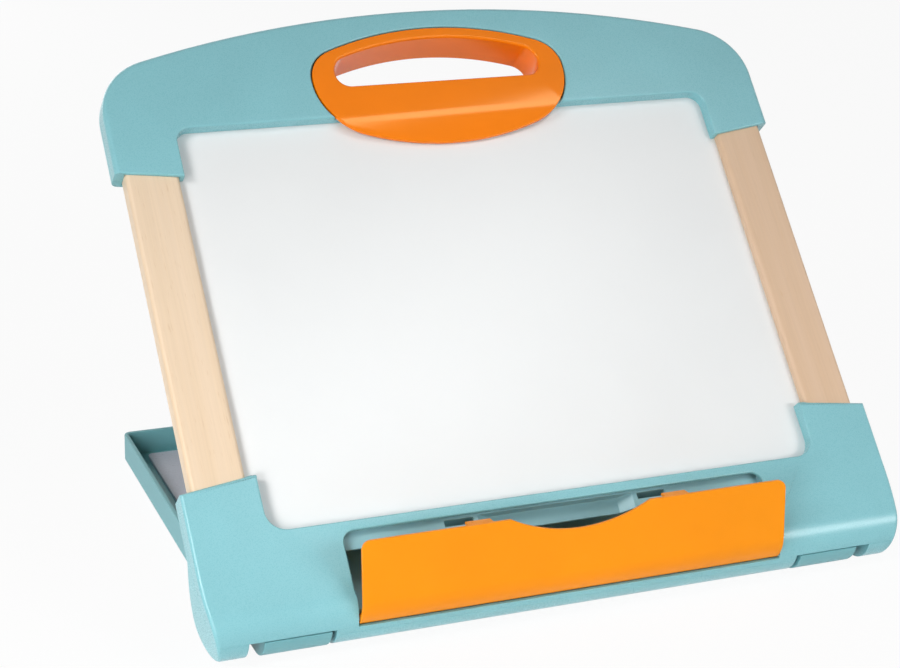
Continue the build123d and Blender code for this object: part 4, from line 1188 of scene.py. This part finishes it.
@dataclass
class BoardScrews:
    """The screws that hold the shells, the rails and the brackets, driven from behind."""

    workshop: Workshop
    # How far out of the board the heads of each set sit, and how far their tips reach.
    shell_back: float = 2.2
    box_back: float = -14.0
    bracket_back: float = 5.0
    shell_tip: float = 11.1
    rail_tip: float = 12.1
    bracket_tip: float = 9.6
    arm_bosses: tuple[float, float] = (150.0, 28.5)
    middle_bosses: tuple[float, float] = (126.6, 20.0)
    cap_bosses: tuple[tuple[float, float], ...] = ((130.0, 300.0), (88.0, 325.0))
    rail_centre: float = 178.9
    rail_spread: float = 8.0
    rail_rows: tuple[float, float] = (52.5, 256.9)
    bracket_x: float = 70.0
    bracket_u: float = 110.0
    bracket_reach: tuple[float, float] = (13.0, 10.0)

    def behind(self, x: float, u: float, head: float, tip: float) -> tuple[Matrix, float]:
        """Place a screw that is driven out of the board's back.

        Args:
            x: Millimetres across, to the right.
            u: Millimetres up the board from the hinge axis.
            head: How far out of the board the head's seat is.
            tip: How far out of the board the tip reaches.

        Returns:
            The matrix of the head's seat, and the shank's length in millimetres.
        """
        return board_matrix(x, u, head) @ Matrix.Rotation(math.pi, 4, "X"), tip - head

    def build(self) -> None:
        """Build the four sets of screws."""
        signs = (-1, 1)
        casing = [
            self.behind(sign * x, u, head, self.shell_tip)
            for (x, u), head in (
                (self.arm_bosses, self.shell_back),
                (self.middle_bosses, self.box_back),
            )
            for sign in signs
        ]
        cap = [
            self.behind(sign * x, u, self.shell_back, self.shell_tip)
            for sign in signs
            for x, u in self.cap_bosses
        ]
        rail = [
            self.behind(sign * (self.rail_centre + shift), u, self.shell_back, self.rail_tip)
            for u in self.rail_rows
            for sign in signs
            for shift in (-self.rail_spread, self.rail_spread)
        ]
        across, up = self.bracket_reach
        bracket = [
            self.behind(
                sign * self.bracket_x + x, self.bracket_u + u, self.bracket_back, self.bracket_tip
            )
            for sign in signs
            for x in (-across, across)
            for u in (-up, up)
        ]
        large, small = ScrewSet(self.workshop), ScrewSet.small(self.workshop)
        large.build("casing_screws_cross", "casing_screws", Body.BOARD, casing)
        large.build("cap_screws_cross", "cap_screws", Body.BOARD, cap)
        large.build("rail_screws_cross", "rail_screws", Body.BOARD, rail)
        small.build("bracket_screws_cross", "bracket_screws", Body.BOARD, bracket)


@dataclass(frozen=True)
class Softbox:
    """A lamp with a soft rectangular face, its sizes in metres."""

    name: str
    place: tuple[float, float, float]
    watts: float
    size: tuple[float, float]
    aim: tuple[float, float, float] = (0.0, -0.02, 0.1)
    # The angle in degrees to which a honeycomb grid narrows the light.
    beam: float = 180.0

    def hang(self) -> None:
        """Hang the lamp and turn it to its aim."""
        data = bpy.data.lights.new(self.name, "AREA")
        data.spread = math.radians(self.beam)
        data.shape = "RECTANGLE"
        data.energy = self.watts
        data.size, data.size_y = self.size
        lamp = bpy.data.objects.new(self.name, data)
        lamp.location = self.place
        way = Vector(self.aim) - Vector(self.place)
        lamp.rotation_euler = way.to_track_quat("-Z", "Y").to_euler()
        bpy.context.scene.collection.objects.link(lamp)


LAMPS = (
    Softbox("key_softbox", (-0.82, -0.86, 0.27), 1.3, (0.45, 0.4), (-0.08, -0.12, 0.06), 90.0),
    Softbox("front_softbox", (0.62, -0.9, 0.42), 0.72, (0.6, 0.3), (0.06, -0.14, 0.0), 70.0),
    Softbox("left_softbox", (-0.96, -0.43, 0.77), 1.0, (0.35, 0.3), (-0.16, -0.14, 0.04), 70.0),
    # The strip hangs where the clip's bend mirrors it to the camera as one band of light.
    Softbox("high_strip", (0.348, -0.382, 0.995), 1.5, (0.42, 0.15), (0.0, 0.048, 0.223)),
    Softbox("rear_softbox", (-0.5, 1.3, 0.5), 5.0, (1.0, 1.0)),
)


@dataclass
class Studio:
    """The camera of the photograph, the white table and the lamps, in metres and degrees."""

    camera_place: tuple[float, float, float] = (-0.4441, -1.03776, 0.53454)
    azimuth: float = 22.4389
    pitch: float = 20.8674
    roll: float = 1.9759
    lens_mm: float = 84.48
    sensor_mm: float = 36.0
    sight: tuple[float, float] = (0.05, 30.0)
    floor_half: float = 6.0
    floor_colour: str = "F4F4F4"
    floor_glow: float = 0.93
    sky_strength: float = 0.14

    def camera(self) -> None:
        """Set the camera up where the photograph was taken."""
        turn, dip, lean = (math.radians(a) for a in (self.azimuth, self.pitch, self.roll))
        forward = Vector(
            (math.sin(turn) * math.cos(dip), math.cos(turn) * math.cos(dip), -math.sin(dip))
        )
        right = Vector((math.cos(turn), -math.sin(turn), 0.0))
        up = right.cross(forward)
        rolled_right = right * math.cos(lean) + up * math.sin(lean)
        rolled_up = up * math.cos(lean) - right * math.sin(lean)
        data = bpy.data.cameras.new("photo_camera")
        data.sensor_width = self.sensor_mm
        data.sensor_fit = "HORIZONTAL"
        data.lens = self.lens_mm
        data.clip_start, data.clip_end = self.sight
        camera = bpy.data.objects.new("photo_camera", data)
        axes = Matrix((rolled_right, rolled_up, -forward)).transposed()
        camera.matrix_world = Matrix.Translation(Vector(self.camera_place)) @ axes.to_4x4()
        bpy.context.scene.collection.objects.link(camera)
        bpy.context.scene.camera = camera

    def seen_rays(self, tree: Tree) -> Node:
        """Tell rays from the camera, from gloss and through glass from the rest.

        Args:
            tree: The node tree.

        Returns:
            A node that gives 1 for those rays and 0 for the rest.
        """
        path = add_node(tree, "ShaderNodeLightPath")
        seen = add_node(
            tree,
            "ShaderNodeMath",
            {0: path.outputs["Is Camera Ray"], 1: path.outputs["Is Glossy Ray"]},
            operation="MAXIMUM",
        )
        return add_node(
            tree,
            "ShaderNodeMath",
            {0: seen, 1: path.outputs["Is Transmission Ray"]},
            operation="MAXIMUM",
        )

    def floor(self) -> None:
        """Lay a large pale floor that shows white and keeps a soft shadow."""
        mesh = bpy.data.meshes.new("floor")
        shape = bmesh.new()
        bmesh.ops.create_grid(shape, x_segments=1, y_segments=1, size=self.floor_half)
        shape.to_mesh(mesh)
        shape.free()
        floor = bpy.data.objects.new("floor", mesh)
        bpy.context.scene.collection.objects.link(floor)
        material = bpy.data.materials.new("white_studio_floor")
        material.use_nodes = True
        tree = material.node_tree
        tree.nodes.clear()
        matt = add_node(tree, "ShaderNodeBsdfDiffuse", {"Color": linear(self.floor_colour)})
        glow = add_node(tree, "ShaderNodeEmission", {"Color": WHITE, "Strength": 1.0})
        share = add_node(
            tree,
            "ShaderNodeMath",
            {0: self.seen_rays(tree), 1: self.floor_glow},
            operation="MULTIPLY",
        )
        mix = add_node(tree, "ShaderNodeMixShader", {0: share, 1: matt, 2: glow})
        add_node(tree, "ShaderNodeOutputMaterial", {"Surface": mix})
        mesh.materials.append(material)

    def sky(self) -> None:
        """Light everything softly from all round, and show white to the camera."""
        world = bpy.data.worlds.new("studio")
        bpy.context.scene.world = world
        world.use_nodes = True
        tree = world.node_tree
        tree.nodes.clear()
        light = {"Color": WHITE, "Strength": self.sky_strength}
        soft = add_node(tree, "ShaderNodeBackground", light)
        shown = add_node(tree, "ShaderNodeBackground", {"Color": WHITE, "Strength": 1.0})
        seen = self.seen_rays(tree)
        mix = add_node(tree, "ShaderNodeMixShader", {0: seen, 1: soft, 2: shown})
        add_node(tree, "ShaderNodeOutputWorld", {"Surface": mix})

    def build(self) -> None:
        """Set up the camera, floor, sky and lamps."""
        self.camera()
        self.floor()
        self.sky()
        for lamp in LAMPS:
            lamp.hang()
        bpy.context.scene.view_settings.view_transform = "Standard"


def main() -> None:
    """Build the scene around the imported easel."""
    logging.basicConfig(level=logging.INFO, format="%(name)s: %(message)s")
    workshop = Workshop(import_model())
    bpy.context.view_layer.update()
    Studio().build()
    for part in (BaseTray, BottomCasing, Board, TopCap, ClipHandle, Prop, BoardScrews):
        LOG.info("building %s", part.__name__)
        part(workshop).build()


if __name__ == "__main__":
    main()
